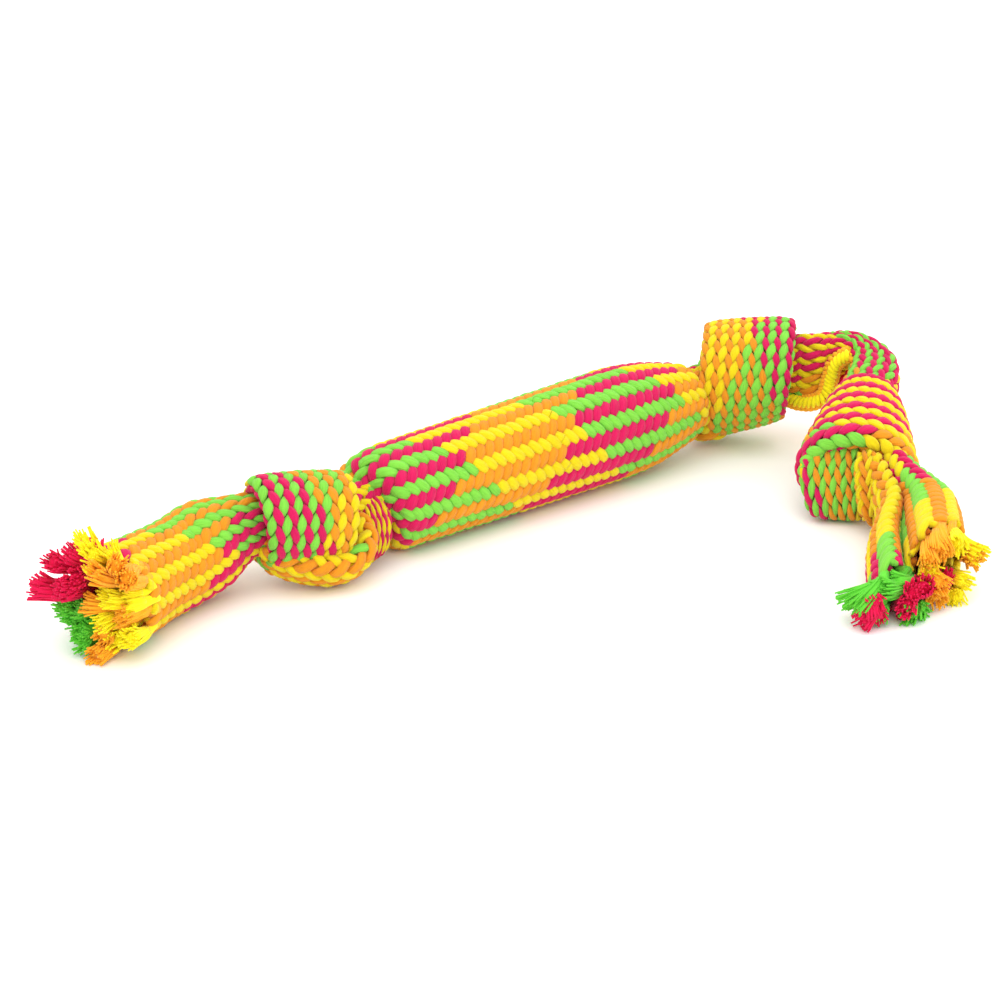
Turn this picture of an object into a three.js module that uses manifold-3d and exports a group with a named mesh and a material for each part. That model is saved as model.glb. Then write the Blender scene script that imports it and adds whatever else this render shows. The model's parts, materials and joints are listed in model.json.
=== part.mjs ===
// Rope dog toy: one braided cotton sleeve, stuffed in the middle, knotted three times, frayed at both ends.
// Millimetres, +Z up, +X along the stuffed body, origin on the floor under the middle of the body.
import * as THREE from 'three';
import { mergeVertices } from 'three/addons/utils/BufferGeometryUtils.js';
import Module from 'manifold-3d';

// Gaps
const TURNING_GAP = 0.5;
const SEAT_GAP = 0.3;
const FLAT_DEPTH = 0.5;

// Stuffed body
const BODY_LENGTH = 170;
const BODY_RADIUS_LEFT = 22.3;
const BODY_RADIUS_RIGHT = 24.4;
const LEFT_SHOULDER = 13;
const RIGHT_SHOULDER = 45;
const LEFT_SHOULDER_POWER = 2.4;
const RIGHT_SHOULDER_POWER = 1.2;
const LEFT_MOUTH_RADIUS = 14.5;
const RIGHT_MOUTH_RADIUS = 16.5;
const SLEEVE_WALL = 5;

// Necks beside the body
const LEFT_NECK_RADIUS = 10.8;
const RIGHT_NECK_RADIUS = 12.8;
const NECK_SWING = 32;
const PIVOT_INSET = 1;
const LEFT_NECK_LENGTH = 12;
const RIGHT_NECK_LENGTH = 13;

// Knots: the flattened sleeve is wound into a wrap, and crosses under it as a lobe
const BAND_THICKNESS = 10;
const WRAP_TURNS = 1.12;
const LOBE_WIDTH = 24;
const KNOT_INSET = 2;
const FILLING_DRAW = 0.22;

// Left knot: places from its bend at the neck
const LEFT_WRAP_RADIUS = 21.5;
const LEFT_WRAP_WIDTH = 42;
const LEFT_WRAP_YAW = -18;
const LEFT_WRAP_PITCH = -5;
const LEFT_WRAP_SHIFT = [-5, -10.3, 3];
const LEFT_TAIL_SHIFT = [1, 4.1, -2.4];

// Right knot: places from its bend at the neck
const RIGHT_WRAP_RADIUS = 27.5;
const RIGHT_WRAP_WIDTH = 41;
const RIGHT_WRAP_YAW = -33;
const RIGHT_WRAP_PITCH = 6;
const RIGHT_WRAP_SHIFT = [2.8, 3, 4.2];
const LINK_SHIFT = [2.5, -2, -0.7];

// Link between the right knot and the end knot
const LINK_BALL_RADIUS = 11.5;
const LINK_SWING = 40;
const LINK_SPAN = 45;
const LINK_BULGE = 20;
const LINK_RISE = 5;

// End knot: a bell that opens towards the right tail
const END_KNOT_LENGTH = 54;
const END_KNOT_YAW = -140;
const END_KNOT_FAR = [14, 13];
const END_KNOT_NEAR = [25, 20.5];
const BELL_FLARE = 0.8;
const RIM_RADIUS = 5.5;
const RIM_PLACE = 0.88;
const RIM_SINK = 0.6;
const RIM_OVERLAP = 0.15;
const FACE_BAND_WIDTH = 25;

// Tails
const LEFT_TAIL_RADIUS = 18.3;
const LEFT_TAIL_BALL_RADIUS = 12.5;
const LEFT_TAIL_REACH = [-62, -5];
const LEFT_TAIL_SWING = 22;
const TAIL_WALL = 5.5;
const TAIL_HOLLOW_DEPTH = 24;
const RIGHT_TAIL_BALL_RADIUS = 11;
const RIGHT_TAIL_HALF_WIDTH = 18.5;
const RIGHT_TAIL_HALF_HEIGHT = 16.5;
const RIGHT_TAIL_REACH = [-43, -52];
const RIGHT_TAIL_SWING = 28;
const RIGHT_TAIL_SIDE = 11;
const RIGHT_TAIL_INSET = 3;
const CREASE_HALF_WIDTH = 4.5;

// Strand ends
const TUFT_LENGTH = 24;
const TUFT_ROOT_SHARE = 0.32;
const TUFT_TIP_SHARE = 0.5;
const TUFT_SPLAY = 8;
const CREASE_ARC = 70;
const LEFT_TUFTS = [
  'yellow', 'orange', 'magenta', 'magenta', 'magenta', 'green',
  'green', 'green', 'orange', 'yellow', 'orange', 'yellow',
];
const RIGHT_TUFTS = [
  'green', 'magenta', 'green', 'magenta', 'green',
  'magenta', 'yellow', 'orange', 'yellow', 'orange',
];

const YARN = {
  green: 0x6ee146,
  yellow: 0xffeb1e,
  orange: 0xffa532,
  magenta: 0xf01464,
};
const FILLING = 0xe8e4da;

const wasm = await Module();
wasm.setup();

const UP = new THREE.Vector3(0, 0, 1);

function vector(x, y, z) {
  return new THREE.Vector3(x, y, z);
}

function radians(degrees) {
  return THREE.MathUtils.degToRad(degrees);
}

function mix(a, b, share) {
  return a + (b - a) * share;
}

// Solids

function toSolid(geometry) {
  const bare = geometry.clone();
  bare.deleteAttribute('normal');
  bare.deleteAttribute('uv');
  const merged = mergeVertices(bare, 1e-4);
  const mesh = new wasm.Mesh({
    numProp: 3,
    vertProperties: Float32Array.from(merged.attributes.position.array),
    triVerts: Uint32Array.from(merged.index.array),
  });
  return new wasm.Manifold(mesh);
}

function toGeometry(solid) {
  const mesh = solid.getMesh();
  const geometry = new THREE.BufferGeometry();
  geometry.setAttribute('position', new THREE.BufferAttribute(mesh.vertProperties, 3));
  geometry.setIndex(new THREE.BufferAttribute(mesh.triVerts, 1));
  geometry.computeVertexNormals();
  return geometry;
}

// Closed solid through oval rings; a ring has a centre and its two half-axes, squareness 1 is an ellipse.
function loft(rings, sides, startPole, endPole, squareness = 1) {
  const positions = [];
  const index = [];
  const soften = (value) => Math.sign(value) * Math.abs(value) ** squareness;
  for (const ring of rings) {
    for (let side = 0; side < sides; side += 1) {
      const angle = (2 * Math.PI * side) / sides;
      const point = ring.centre.clone();
      point.addScaledVector(ring.across, soften(Math.cos(angle)));
      point.addScaledVector(ring.upward, soften(Math.sin(angle)));
      positions.push(point.x, point.y, point.z);
    }
  }
  const first = positions.length / 3;
  const last = first + 1;
  const start = startPole ?? rings[0].centre;
  const end = endPole ?? rings.at(-1).centre;
  positions.push(start.x, start.y, start.z, end.x, end.y, end.z);
  const lastRing = (rings.length - 1) * sides;
  for (let side = 0; side < sides; side += 1) {
    const next = (side + 1) % sides;
    index.push(first, next, side);
    index.push(last, lastRing + side, lastRing + next);
    for (let ring = 0; ring + 1 < rings.length; ring += 1) {
      const near = ring * sides;
      const far = near + sides;
      index.push(near + side, near + next, far + next);
      index.push(near + side, far + next, far + side);
    }
  }
  const geometry = new THREE.BufferGeometry();
  geometry.setAttribute('position', new THREE.Float32BufferAttribute(positions, 3));
  geometry.setIndex(index);
  return geometry;
}

// Oval ring square to a heading, with its width level.
function ringAt(centre, heading, halfWidth, halfHeight) {
  const along = heading.clone().normalize();
  const across = UP.clone().cross(along).normalize();
  const upward = along.clone().cross(across);
  return {
    centre,
    across: across.multiplyScalar(halfWidth),
    upward: upward.multiplyScalar(halfHeight),
  };
}

// Way from a ring's centre to its edge at an angle.
function aroundRing(ring, angle) {
  const way = ring.across.clone().multiplyScalar(Math.cos(angle));
  return way.addScaledVector(ring.upward, Math.sin(angle));
}

// Rings of a round end that a rope stretch turns on, from the pole up to the pivot.
function ballRings(pivot, heading, radius, steps) {
  const rings = [];
  const along = heading.clone().normalize();
  for (let step = 1; step < steps; step += 1) {
    const angle = (Math.PI / 2) * (step / steps);
    const centre = pivot.clone().addScaledVector(along, -radius * Math.cos(angle));
    rings.push(ringAt(centre, along, radius * Math.sin(angle), radius * Math.sin(angle)));
  }
  return rings;
}

// Rings along a route of [x, y, z, half width, half height] points.
function routeRings(route, steps) {
  const curve = new THREE.CatmullRomCurve3(route.map(([x, y, z]) => vector(x, y, z)));
  const sizes = new THREE.CatmullRomCurve3(route.map((point) => vector(point[3], point[4], 0)));
  const rings = [];
  for (let step = 0; step <= steps; step += 1) {
    const share = step / steps;
    const size = sizes.getPoint(share);
    rings.push(ringAt(curve.getPoint(share), curve.getTangent(share), size.x, size.y));
  }
  return rings;
}

// Rope stretch that starts on a round end at its own origin and follows a route.
function ropeStretch(route, steps, sides, endBall = 0) {
  const rings = routeRings(route, steps);
  const heading = rings[0].across.clone().cross(rings[0].upward).normalize();
  const radius = route[0][3];
  const pole = heading.clone().multiplyScalar(-radius);
  const all = [...ballRings(vector(0, 0, 0), heading, radius, 4), ...rings];
  if (endBall === 0) {
    return loft(all, sides, pole);
  }
  const tail = rings.at(-1);
  const outward = tail.across.clone().cross(tail.upward).normalize();
  const cap = ballRings(tail.centre, outward.clone().negate(), endBall, 4).reverse();
  const turned = cap.map(({ centre, across }) => ringAt(centre, outward, across.length(), across.length()));
  const endPole = tail.centre.clone().addScaledVector(outward, endBall);
  return loft([...all, ...turned], sides, pole, endPole);
}

// Space that a round-ended stretch sweeps as it swings; stations are [distance, radius] along the heading.
function mouthTool(pivot, heading, stations, swing, sides) {
  const radius = stations[0][1] + TURNING_GAP;
  const angle = radians(swing);
  const profile = [new THREE.Vector2(0, -radius)];
  const ballSteps = 5;
  for (let step = 1; step <= ballSteps; step += 1) {
    const turn = (Math.PI / 2 - angle) * (step / ballSteps);
    profile.push(new THREE.Vector2(radius * Math.sin(turn), -radius * Math.cos(turn)));
  }
  for (const [distance, size] of stations.slice(1)) {
    const reach = size + TURNING_GAP;
    const along = distance * Math.cos(angle) - reach * Math.sin(angle);
    profile.push(new THREE.Vector2(reach * Math.cos(angle) + distance * Math.sin(angle), along));
  }
  profile.push(new THREE.Vector2(0, profile.at(-1).y));
  const geometry = new THREE.LatheGeometry(profile, sides);
  const turn = new THREE.Quaternion().setFromUnitVectors(vector(0, 1, 0), heading.clone().normalize());
  geometry.applyQuaternion(turn);
  geometry.translate(pivot.x, pivot.y, pivot.z);
  return toSolid(geometry);
}

// Everything under the floor, in a frame whose origin stands at the given height.
function underFloor(height) {
  const span = 2 * BODY_LENGTH;
  const depth = BODY_RADIUS_RIGHT;
  const geometry = new THREE.BoxGeometry(span, span, depth);
  geometry.translate(0, 0, -height - depth / 2);
  return toSolid(geometry);
}

// Flattened sleeve wound round an axis along X: a spiral, in two stretches, whose start tucks under its end.
function windBand({ radius, width, turns, startAngle, lead }) {
  const rings = [];
  const steps = Math.round(22 * turns);
  const half = BAND_THICKNESS / 2;
  for (let step = 0; step <= steps; step += 1) {
    const share = step / steps;
    const angle = radians(startAngle) + 2 * Math.PI * turns * share;
    const reach = radius - half - half * (1 - share);
    const outward = vector(0, Math.cos(angle), Math.sin(angle));
    const centre = outward.clone().multiplyScalar(reach);
    centre.x = lead * (share - 0.5);
    rings.push({
      centre,
      across: outward.clone().multiplyScalar(half),
      upward: vector(-width / 2, 0, 0),
    });
  }
  const middle = Math.round(steps / 2);
  const stretches = [rings.slice(0, middle + 1), rings.slice(middle)];
  return stretches.map((stretch) => loft(stretch, 12, undefined, undefined, 0.7));
}

// Knot filling along X between two faces, drawn in towards them.
function knotFilling(radius, length) {
  const rings = [];
  const steps = 6;
  for (let step = 0; step <= steps; step += 1) {
    const place = (2 * step) / steps - 1;
    const size = radius * (1 - FILLING_DRAW * place ** 4);
    rings.push(ringAt(vector((place * length) / 2, 0, 0), vector(1, 0, 0), size, size));
  }
  return loft(rings, 24);
}

// Flattened sleeve through [x, y, z] points; its width lies along the level or slanted across vector.
function bandThrough(points, across, width) {
  const curve = new THREE.CatmullRomCurve3(points.map(([x, y, z]) => vector(x, y, z)));
  const rings = [];
  const steps = 10;
  for (let step = 0; step <= steps; step += 1) {
    const share = step / steps;
    const along = curve.getTangent(share);
    const outward = along.clone().cross(across).normalize();
    const sideways = outward.clone().cross(along).normalize();
    rings.push({
      centre: curve.getPoint(share),
      across: sideways.multiplyScalar(width / 2),
      upward: outward.multiplyScalar(BAND_THICKNESS / 2),
    });
  }
  return loft(rings, 10, undefined, undefined, 0.8);
}

function joinAll(geometries) {
  return geometries.map(toSolid).reduce((all, solid) => all.add(solid));
}

// Scene graph

const toy = new THREE.Group();

function addPiece(parent, name, geometry, color) {
  const material = new THREE.MeshStandardMaterial({ color, roughness: 0.95, metalness: 0 });
  const mesh = new THREE.Mesh(geometry, material);
  mesh.name = name;
  parent.group.add(mesh);
  return mesh;
}

// A frame at a bending place of the rope; height is that of its origin above the floor.
function addFrame(parent, place) {
  const group = new THREE.Group();
  group.position.copy(place);
  parent.group.add(group);
  return { group, height: parent.height + place.z };
}

const floorFrame = { group: toy, height: 0 };

// Stuffed body: it lies on its side, so its axis climbs as it swells.

const bodyHalf = BODY_LENGTH / 2;
const swellStart = -bodyHalf + LEFT_SHOULDER;
const swellEnd = bodyHalf - RIGHT_SHOULDER;

function straightRadius(x) {
  return mix(BODY_RADIUS_LEFT, BODY_RADIUS_RIGHT, (x - swellStart) / (swellEnd - swellStart));
}

function axisHeight(x) {
  return straightRadius(x) - FLAT_DEPTH;
}

// Radius of the body: straight flanks, a blunt left shoulder and a long right one.
function bodyRadius(x) {
  if (x < swellStart) {
    const share = Math.min(1, (swellStart - x) / LEFT_SHOULDER);
    return mix(LEFT_MOUTH_RADIUS, straightRadius(x), Math.sqrt(1 - share ** LEFT_SHOULDER_POWER));
  }
  if (x > swellEnd) {
    const share = Math.min(1, (x - swellEnd) / RIGHT_SHOULDER);
    return mix(RIGHT_MOUTH_RADIUS, straightRadius(x), (1 - share ** 2) ** RIGHT_SHOULDER_POWER);
  }
  return straightRadius(x);
}

function bodyRings(inset) {
  const shares = [0, 0.12, 0.35, 0.65, 1];
  const left = shares.map((share) => -bodyHalf + inset + (LEFT_SHOULDER - inset) * share);
  const flank = [1 / 3, 2 / 3].map((share) => mix(swellStart, swellEnd, share));
  const right = shares.map((share) => bodyHalf - inset - (RIGHT_SHOULDER - inset) * share).reverse();
  const places = [...left, ...flank, ...right];
  return places.map((x) => {
    const radius = bodyRadius(x) - inset;
    return ringAt(vector(x, 0, axisHeight(x)), vector(1, 0, 0), radius, radius);
  });
}

const pivotLeft = vector(-bodyHalf + PIVOT_INSET, 0, axisHeight(-bodyHalf));
const pivotRight = vector(bodyHalf - PIVOT_INSET, 0, axisHeight(bodyHalf));
const BODY_SIDES = 28;
const MOUTH_SIDES = 24;

function neckMouth(pivot, heading, radius) {
  const stations = [[0, radius], [4 * radius, radius]];
  return mouthTool(pivot, heading, stations, NECK_SWING, MOUTH_SIDES);
}

function buildBody() {
  const hollow = toSolid(loft(bodyRings(SLEEVE_WALL), BODY_SIDES));
  const sleeve = toSolid(loft(bodyRings(0), BODY_SIDES))
    .subtract(hollow)
    .subtract(neckMouth(pivotLeft, vector(-1, 0, 0), LEFT_NECK_RADIUS))
    .subtract(neckMouth(pivotRight, vector(1, 0, 0), RIGHT_NECK_RADIUS))
    .subtract(underFloor(0));
  addPiece(floorFrame, 'body_sleeve', toGeometry(sleeve), YARN.yellow);
  const core = toSolid(loft(bodyRings(SLEEVE_WALL + SEAT_GAP), BODY_SIDES))
    .subtract(neckMouth(pivotLeft, vector(-1, 0, 0), LEFT_NECK_RADIUS))
    .subtract(neckMouth(pivotRight, vector(1, 0, 0), RIGHT_NECK_RADIUS));
  addPiece(floorFrame, 'body_core', toGeometry(core), FILLING);
}

function buildNeck(name, frame, reach, radius) {
  const route = [[0, 0, 0, radius, radius], [reach, 0, 0, radius, radius]];
  addPiece(frame, name, ropeStretch(route, 1, 20, radius), YARN.magenta);
}

// Slant of a wrap that is built along X.
function wrapTurn(yaw, pitch) {
  const turn = new THREE.Euler(0, radians(-pitch), radians(yaw), 'ZYX');
  return new THREE.Quaternion().setFromEuler(turn);
}

function wrapAxis(yaw, pitch) {
  return vector(1, 0, 0).applyQuaternion(wrapTurn(yaw, pitch));
}

// Distances and radii of a stretch along its route, for the mouth that it turns in.
function reachOf(route) {
  return route.map(([x, y, z, ...halves]) => [Math.hypot(x, y, z), Math.max(...halves)]);
}

function headingOf(route) {
  return vector(route[1][0], route[1][1], route[1][2]);
}

// The same route seen from its other end.
function reversedRoute(route) {
  const [endX, endY, endZ] = route.at(-1);
  return route.map(([x, y, z, ...sizes]) => [x - endX, y - endY, z - endZ, ...sizes]).reverse();
}

// Wrap, filling and crossing lobe of an overhand knot, set on the slant in its frame.
function overhandKnot({ radius, width, startAngle, lead, lobePoints, centre, yaw, pitch }) {
  const wrap = windBand({ radius, width, turns: WRAP_TURNS, startAngle, lead });
  const filling = knotFilling(radius - BAND_THICKNESS / 2, width - BAND_THICKNESS / 4);
  const lobe = bandThrough(lobePoints, vector(0, 1, 0), LOBE_WIDTH);
  const pieces = [...wrap, filling, lobe];
  for (const piece of pieces) {
    piece.applyQuaternion(wrapTurn(yaw, pitch));
    piece.translate(centre.x, centre.y, centre.z);
  }
  return joinAll(pieces);
}

// Route from shares of a tail's reach along x, y and z, and of its swelling from the ball to its full size.
function swellingRoute(shares, reach, ball, full) {
  return shares.map(([x, y, z, swell]) => [
    x * reach[0], y * reach[1], z * reach[2], mix(ball, full[0], swell), mix(ball, full[1], swell),
  ]);
}

// Flat end of a tail: its middle and the way it faces.
function tailEnd(route) {
  const end = vector(...route.at(-1).slice(0, 3));
  const before = vector(...route.at(-2).slice(0, 3));
  return { tip: end, heading: end.clone().sub(before).setZ(0).normalize() };
}

// Frayed strands in tufts of one colour round the wall of a tail's end; gap is the open arc at the top.
function addTufts(side, frame, { tip, heading }, halfWidth, halfHeight, gap, colours) {
  const counts = {};
  const rim = ringAt(tip, heading, halfWidth - TAIL_WALL / 2, halfHeight - TAIL_WALL / 2);
  const spacing = (radians(360 - gap) * (rim.across.length() + rim.upward.length())) / 2 / colours.length;
  const tipRadius = TUFT_TIP_SHARE * spacing;
  const steps = 4;
  colours.forEach((colour, place) => {
    const share = (place + 0.5) / colours.length;
    const angle = radians(90 + gap / 2 + (360 - gap) * share);
    const root = aroundRing(rim, angle);
    const outward = root.clone().normalize();
    const rings = [];
    for (let step = 0; step <= steps; step += 1) {
      const reach = step / steps;
      const radius = mix(TUFT_ROOT_SHARE * spacing, tipRadius, Math.sin((reach * Math.PI) / 2));
      const centre = tip.clone().add(root);
      centre.addScaledVector(heading, SEAT_GAP + TUFT_LENGTH * reach);
      centre.addScaledVector(outward, TUFT_SPLAY * reach ** 1.5);
      centre.z = Math.max(centre.z, radius + SEAT_GAP - frame.height);
      rings.push(ringAt(centre, heading, radius, radius));
    }
    const crown = rings.at(-1).centre.clone().addScaledVector(heading, tipRadius / 2);
    const tuft = loft(rings, 8, undefined, crown);
    counts[colour] = (counts[colour] ?? 0) + 1;
    addPiece(frame, `${side}_tuft_${colour}_${counts[colour]}`, tuft, YARN[colour]);
  });
}

// Left side

const leftAxis = wrapAxis(LEFT_WRAP_YAW, LEFT_WRAP_PITCH);
const leftReach = LEFT_WRAP_WIDTH / 2 - KNOT_INSET;
const leftCentre = vector(...LEFT_WRAP_SHIFT).addScaledVector(leftAxis, -leftReach);
const leftTailBend = vector(...LEFT_TAIL_SHIFT).add(leftCentre).addScaledVector(leftAxis, -leftReach);

const leftNeck = addFrame(floorFrame, pivotLeft);
const leftKnot = addFrame(leftNeck, vector(-LEFT_NECK_LENGTH, 0, 0));
const leftTail = addFrame(leftKnot, leftTailBend);

const leftTailDrop = LEFT_TAIL_RADIUS - FLAT_DEPTH - leftTail.height;
const LEFT_TAIL_ROUTE = swellingRoute(
  [
    [0, 0, 0, 0], [0.145, -0.4, 0.2, 0.4], [0.32, -0.6, 0.59, 1],
    [0.55, -0.4, 1, 1], [0.775, 0.2, 1, 1], [1, 1, 1, 1],
  ],
  [...LEFT_TAIL_REACH, leftTailDrop],
  LEFT_TAIL_BALL_RADIUS,
  [LEFT_TAIL_RADIUS, LEFT_TAIL_RADIUS],
);

function buildLeftKnot() {
  const half = LEFT_WRAP_WIDTH / 2;
  const low = -LEFT_WRAP_RADIUS;
  const knot = overhandKnot({
    radius: LEFT_WRAP_RADIUS,
    width: LEFT_WRAP_WIDTH,
    startAngle: -100,
    lead: 3,
    lobePoints: [
      [-half + 5, 0, low + 8],
      [-half + 10, -2, low + 1],
      [2, -3, low - 2],
      [half - 7, -3, low],
      [half - 4, -2, low + 7],
    ],
    centre: leftCentre,
    yaw: LEFT_WRAP_YAW,
    pitch: LEFT_WRAP_PITCH,
  });
  const tailMouth = mouthTool(
    leftTailBend, headingOf(LEFT_TAIL_ROUTE), reachOf(LEFT_TAIL_ROUTE), LEFT_TAIL_SWING, MOUTH_SIDES,
  );
  const solid = knot
    .subtract(neckMouth(vector(0, 0, 0), vector(1, 0, 0), LEFT_NECK_RADIUS))
    .subtract(tailMouth)
    .subtract(underFloor(leftKnot.height));
  addPiece(leftKnot, 'left_knot', toGeometry(solid), YARN.green);
}

function buildLeftTail() {
  const bore = LEFT_TAIL_RADIUS - TAIL_WALL;
  const end = tailEnd(LEFT_TAIL_ROUTE);
  const hollow = [-TAIL_HOLLOW_DEPTH, TAIL_WALL].map((distance) =>
    ringAt(end.tip.clone().addScaledVector(end.heading, distance), end.heading, bore, bore));
  const solid = toSolid(ropeStretch(LEFT_TAIL_ROUTE, 8, 24))
    .subtract(toSolid(loft(hollow, 20)))
    .subtract(underFloor(leftTail.height));
  addPiece(leftTail, 'left_tail', toGeometry(solid), YARN.orange);
  addTufts('left', leftTail, end, LEFT_TAIL_RADIUS, LEFT_TAIL_RADIUS, 0, LEFT_TUFTS);
}

// Right side

const rightAxis = wrapAxis(RIGHT_WRAP_YAW, RIGHT_WRAP_PITCH);
const rightReach = RIGHT_WRAP_WIDTH / 2 - KNOT_INSET;
const rightCentre = vector(...RIGHT_WRAP_SHIFT).addScaledVector(rightAxis, rightReach);
const linkBend = vector(...LINK_SHIFT).add(rightCentre).addScaledVector(rightAxis, rightReach);

const rightNeck = addFrame(floorFrame, pivotRight);
const rightKnot = addFrame(rightNeck, vector(RIGHT_NECK_LENGTH, 0, 0));
const link = addFrame(rightKnot, linkBend);

// Shares of the bulge, the span, the rise, and of the ball's radius across and up.
const LINK_ROUTE = [
  [0, 0, 0, 1, 1],
  [0.5, -0.18, 0.4, 0.96, 1.35],
  [0.85, -0.4, 0.8, 0.96, 1.43],
  [0.8, -0.64, 1, 1.04, 1.22],
  [0.45, -0.84, 0.8, 1.09, 1.09],
  [-0.05, -1, 0.4, 1, 1],
].map(([out, along, up, ...sizes]) => [
  out * LINK_BULGE, along * LINK_SPAN, up * LINK_RISE, ...sizes.map((size) => size * LINK_BALL_RADIUS),
]);
const endKnot = addFrame(link, vector(...LINK_ROUTE.at(-1).slice(0, 3)));

const endHeading = vector(Math.cos(radians(END_KNOT_YAW)), Math.sin(radians(END_KNOT_YAW)), 0);
const endSide = UP.clone().cross(endHeading);
const endDrop = END_KNOT_NEAR[1] - FLAT_DEPTH - endKnot.height;
const rightTailBend = endHeading.clone().multiplyScalar(END_KNOT_LENGTH - RIGHT_TAIL_INSET);
rightTailBend.addScaledVector(endSide, RIGHT_TAIL_SIDE).setZ(endDrop + RIGHT_TAIL_INSET);
const rightTail = addFrame(endKnot, rightTailBend);

const rightTailDrop = RIGHT_TAIL_HALF_HEIGHT - FLAT_DEPTH - rightTail.height;
const RIGHT_TAIL_ROUTE = swellingRoute(
  [[0, 0, 0, 0], [0.19, 0.23, 0.29, 0.15], [0.42, 0.5, 0.71, 0.6], [0.7, 0.77, 1, 1], [1, 1, 1, 1]],
  [...RIGHT_TAIL_REACH, rightTailDrop],
  RIGHT_TAIL_BALL_RADIUS,
  [RIGHT_TAIL_HALF_WIDTH, RIGHT_TAIL_HALF_HEIGHT],
);

function buildRightKnot() {
  const half = RIGHT_WRAP_WIDTH / 2;
  const low = -RIGHT_WRAP_RADIUS;
  const knot = overhandKnot({
    radius: RIGHT_WRAP_RADIUS,
    width: RIGHT_WRAP_WIDTH,
    startAngle: -110,
    lead: 5,
    lobePoints: [
      [-half + 3, 4, low + 8],
      [-half + 4, 4, low + 3],
      [-half + 11, 4, low],
      [0, 3, low + 2],
      [half - 12, 2, low + 8],
    ],
    centre: rightCentre,
    yaw: RIGHT_WRAP_YAW,
    pitch: RIGHT_WRAP_PITCH,
  });
  const stations = reachOf(LINK_ROUTE.slice(0, 3));
  const linkMouth = mouthTool(linkBend, headingOf(LINK_ROUTE), stations, LINK_SWING, MOUTH_SIDES);
  const solid = knot
    .subtract(neckMouth(vector(0, 0, 0), vector(-1, 0, 0), RIGHT_NECK_RADIUS))
    .subtract(linkMouth)
    .subtract(underFloor(rightKnot.height));
  addPiece(rightKnot, 'right_knot', toGeometry(solid), YARN.green);
}

function buildLink() {
  addPiece(link, 'link', ropeStretch(LINK_ROUTE, 10, 20, LINK_BALL_RADIUS), YARN.yellow);
}

// Ring of the bell at a share of its length from the link to the tail.
function bellRing(share) {
  const centre = endHeading.clone().multiplyScalar(END_KNOT_LENGTH * share).setZ(endDrop * share);
  const halfWidth = mix(END_KNOT_FAR[0], END_KNOT_NEAR[0], share ** BELL_FLARE);
  const halfHeight = mix(END_KNOT_FAR[1], END_KNOT_NEAR[1], share ** BELL_FLARE);
  return ringAt(centre, endHeading, halfWidth, halfHeight);
}

// Rolled edge over the top of the bell, near its wide end.
function bellRim() {
  const bell = bellRing(RIM_PLACE);
  const rings = [];
  const steps = 16;
  for (let step = 0; step <= steps; step += 1) {
    const angle = mix(-RIM_OVERLAP, 1 + RIM_OVERLAP, step / steps) * Math.PI;
    const edge = aroundRing(bell, angle);
    const outward = edge.clone().normalize();
    rings.push({
      centre: bell.centre.clone().add(edge).addScaledVector(outward, -RIM_SINK * RIM_RADIUS),
      across: outward.clone().multiplyScalar(RIM_RADIUS),
      upward: endHeading.clone().multiplyScalar(-RIM_RADIUS),
    });
  }
  return loft(rings, 10);
}

// Band of the sleeve that comes out under the rim and runs down the face, beside the tail.
function faceBand() {
  const [halfWidth, halfHeight] = END_KNOT_NEAR;
  const points = [
    [-8, 0.6 * halfHeight],
    [-1, 0.35 * halfHeight],
    [1, -0.25 * halfHeight],
    [-3, -0.75 * halfHeight],
    [-12, -0.95 * halfHeight],
  ].map(([forward, rise]) => {
    const point = endHeading.clone().multiplyScalar(END_KNOT_LENGTH + forward);
    point.addScaledVector(endSide, -0.4 * halfWidth).setZ(endDrop + rise);
    return point.toArray();
  });
  return bandThrough(points, endSide, FACE_BAND_WIDTH);
}

function buildEndKnot() {
  const steps = 5;
  const bell = loft(Array.from({ length: steps + 1 }, (_, step) => bellRing(step / steps)), 24);
  const linkBack = reversedRoute(LINK_ROUTE);
  const linkMouth = mouthTool(
    vector(0, 0, 0), headingOf(linkBack), reachOf(linkBack.slice(0, 4)), LINK_SWING, MOUTH_SIDES,
  );
  const tailStations = reachOf(RIGHT_TAIL_ROUTE.slice(0, 4));
  const tailMouth = mouthTool(
    rightTailBend, headingOf(RIGHT_TAIL_ROUTE), tailStations, RIGHT_TAIL_SWING, MOUTH_SIDES,
  );
  const solid = joinAll([bell, bellRim(), faceBand()])
    .subtract(linkMouth)
    .subtract(tailMouth)
    .subtract(underFloor(endKnot.height));
  addPiece(endKnot, 'end_knot', toGeometry(solid), YARN.magenta);
}

// Tail with its upper wall folded in.
function buildRightTail() {
  const steps = 8;
  const end = tailEnd(RIGHT_TAIL_ROUTE);
  const groove = routeRings(RIGHT_TAIL_ROUTE, steps).slice(2).map((ring) => ({
    centre: ring.centre.clone().add(ring.upward),
    across: ring.across.clone().setLength(CREASE_HALF_WIDTH),
    upward: ring.upward.clone().multiplyScalar(1.1),
  }));
  const last = groove.at(-1);
  groove.push({ ...last, centre: last.centre.clone().addScaledVector(end.heading, CREASE_HALF_WIDTH) });
  const solid = toSolid(ropeStretch(RIGHT_TAIL_ROUTE, steps, 24))
    .subtract(toSolid(loft(groove, 12)))
    .subtract(underFloor(rightTail.height));
  addPiece(rightTail, 'right_tail', toGeometry(solid), YARN.orange);
  addTufts('right', rightTail, end, RIGHT_TAIL_HALF_WIDTH, RIGHT_TAIL_HALF_HEIGHT, CREASE_ARC, RIGHT_TUFTS);
}

buildBody();
buildNeck('left_neck', leftNeck, -LEFT_NECK_LENGTH, LEFT_NECK_RADIUS);
buildLeftKnot();
buildLeftTail();
buildNeck('right_neck', rightNeck, RIGHT_NECK_LENGTH, RIGHT_NECK_RADIUS);
buildRightKnot();
buildLink();
buildEndKnot();
buildRightTail();

export default toy;
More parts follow.
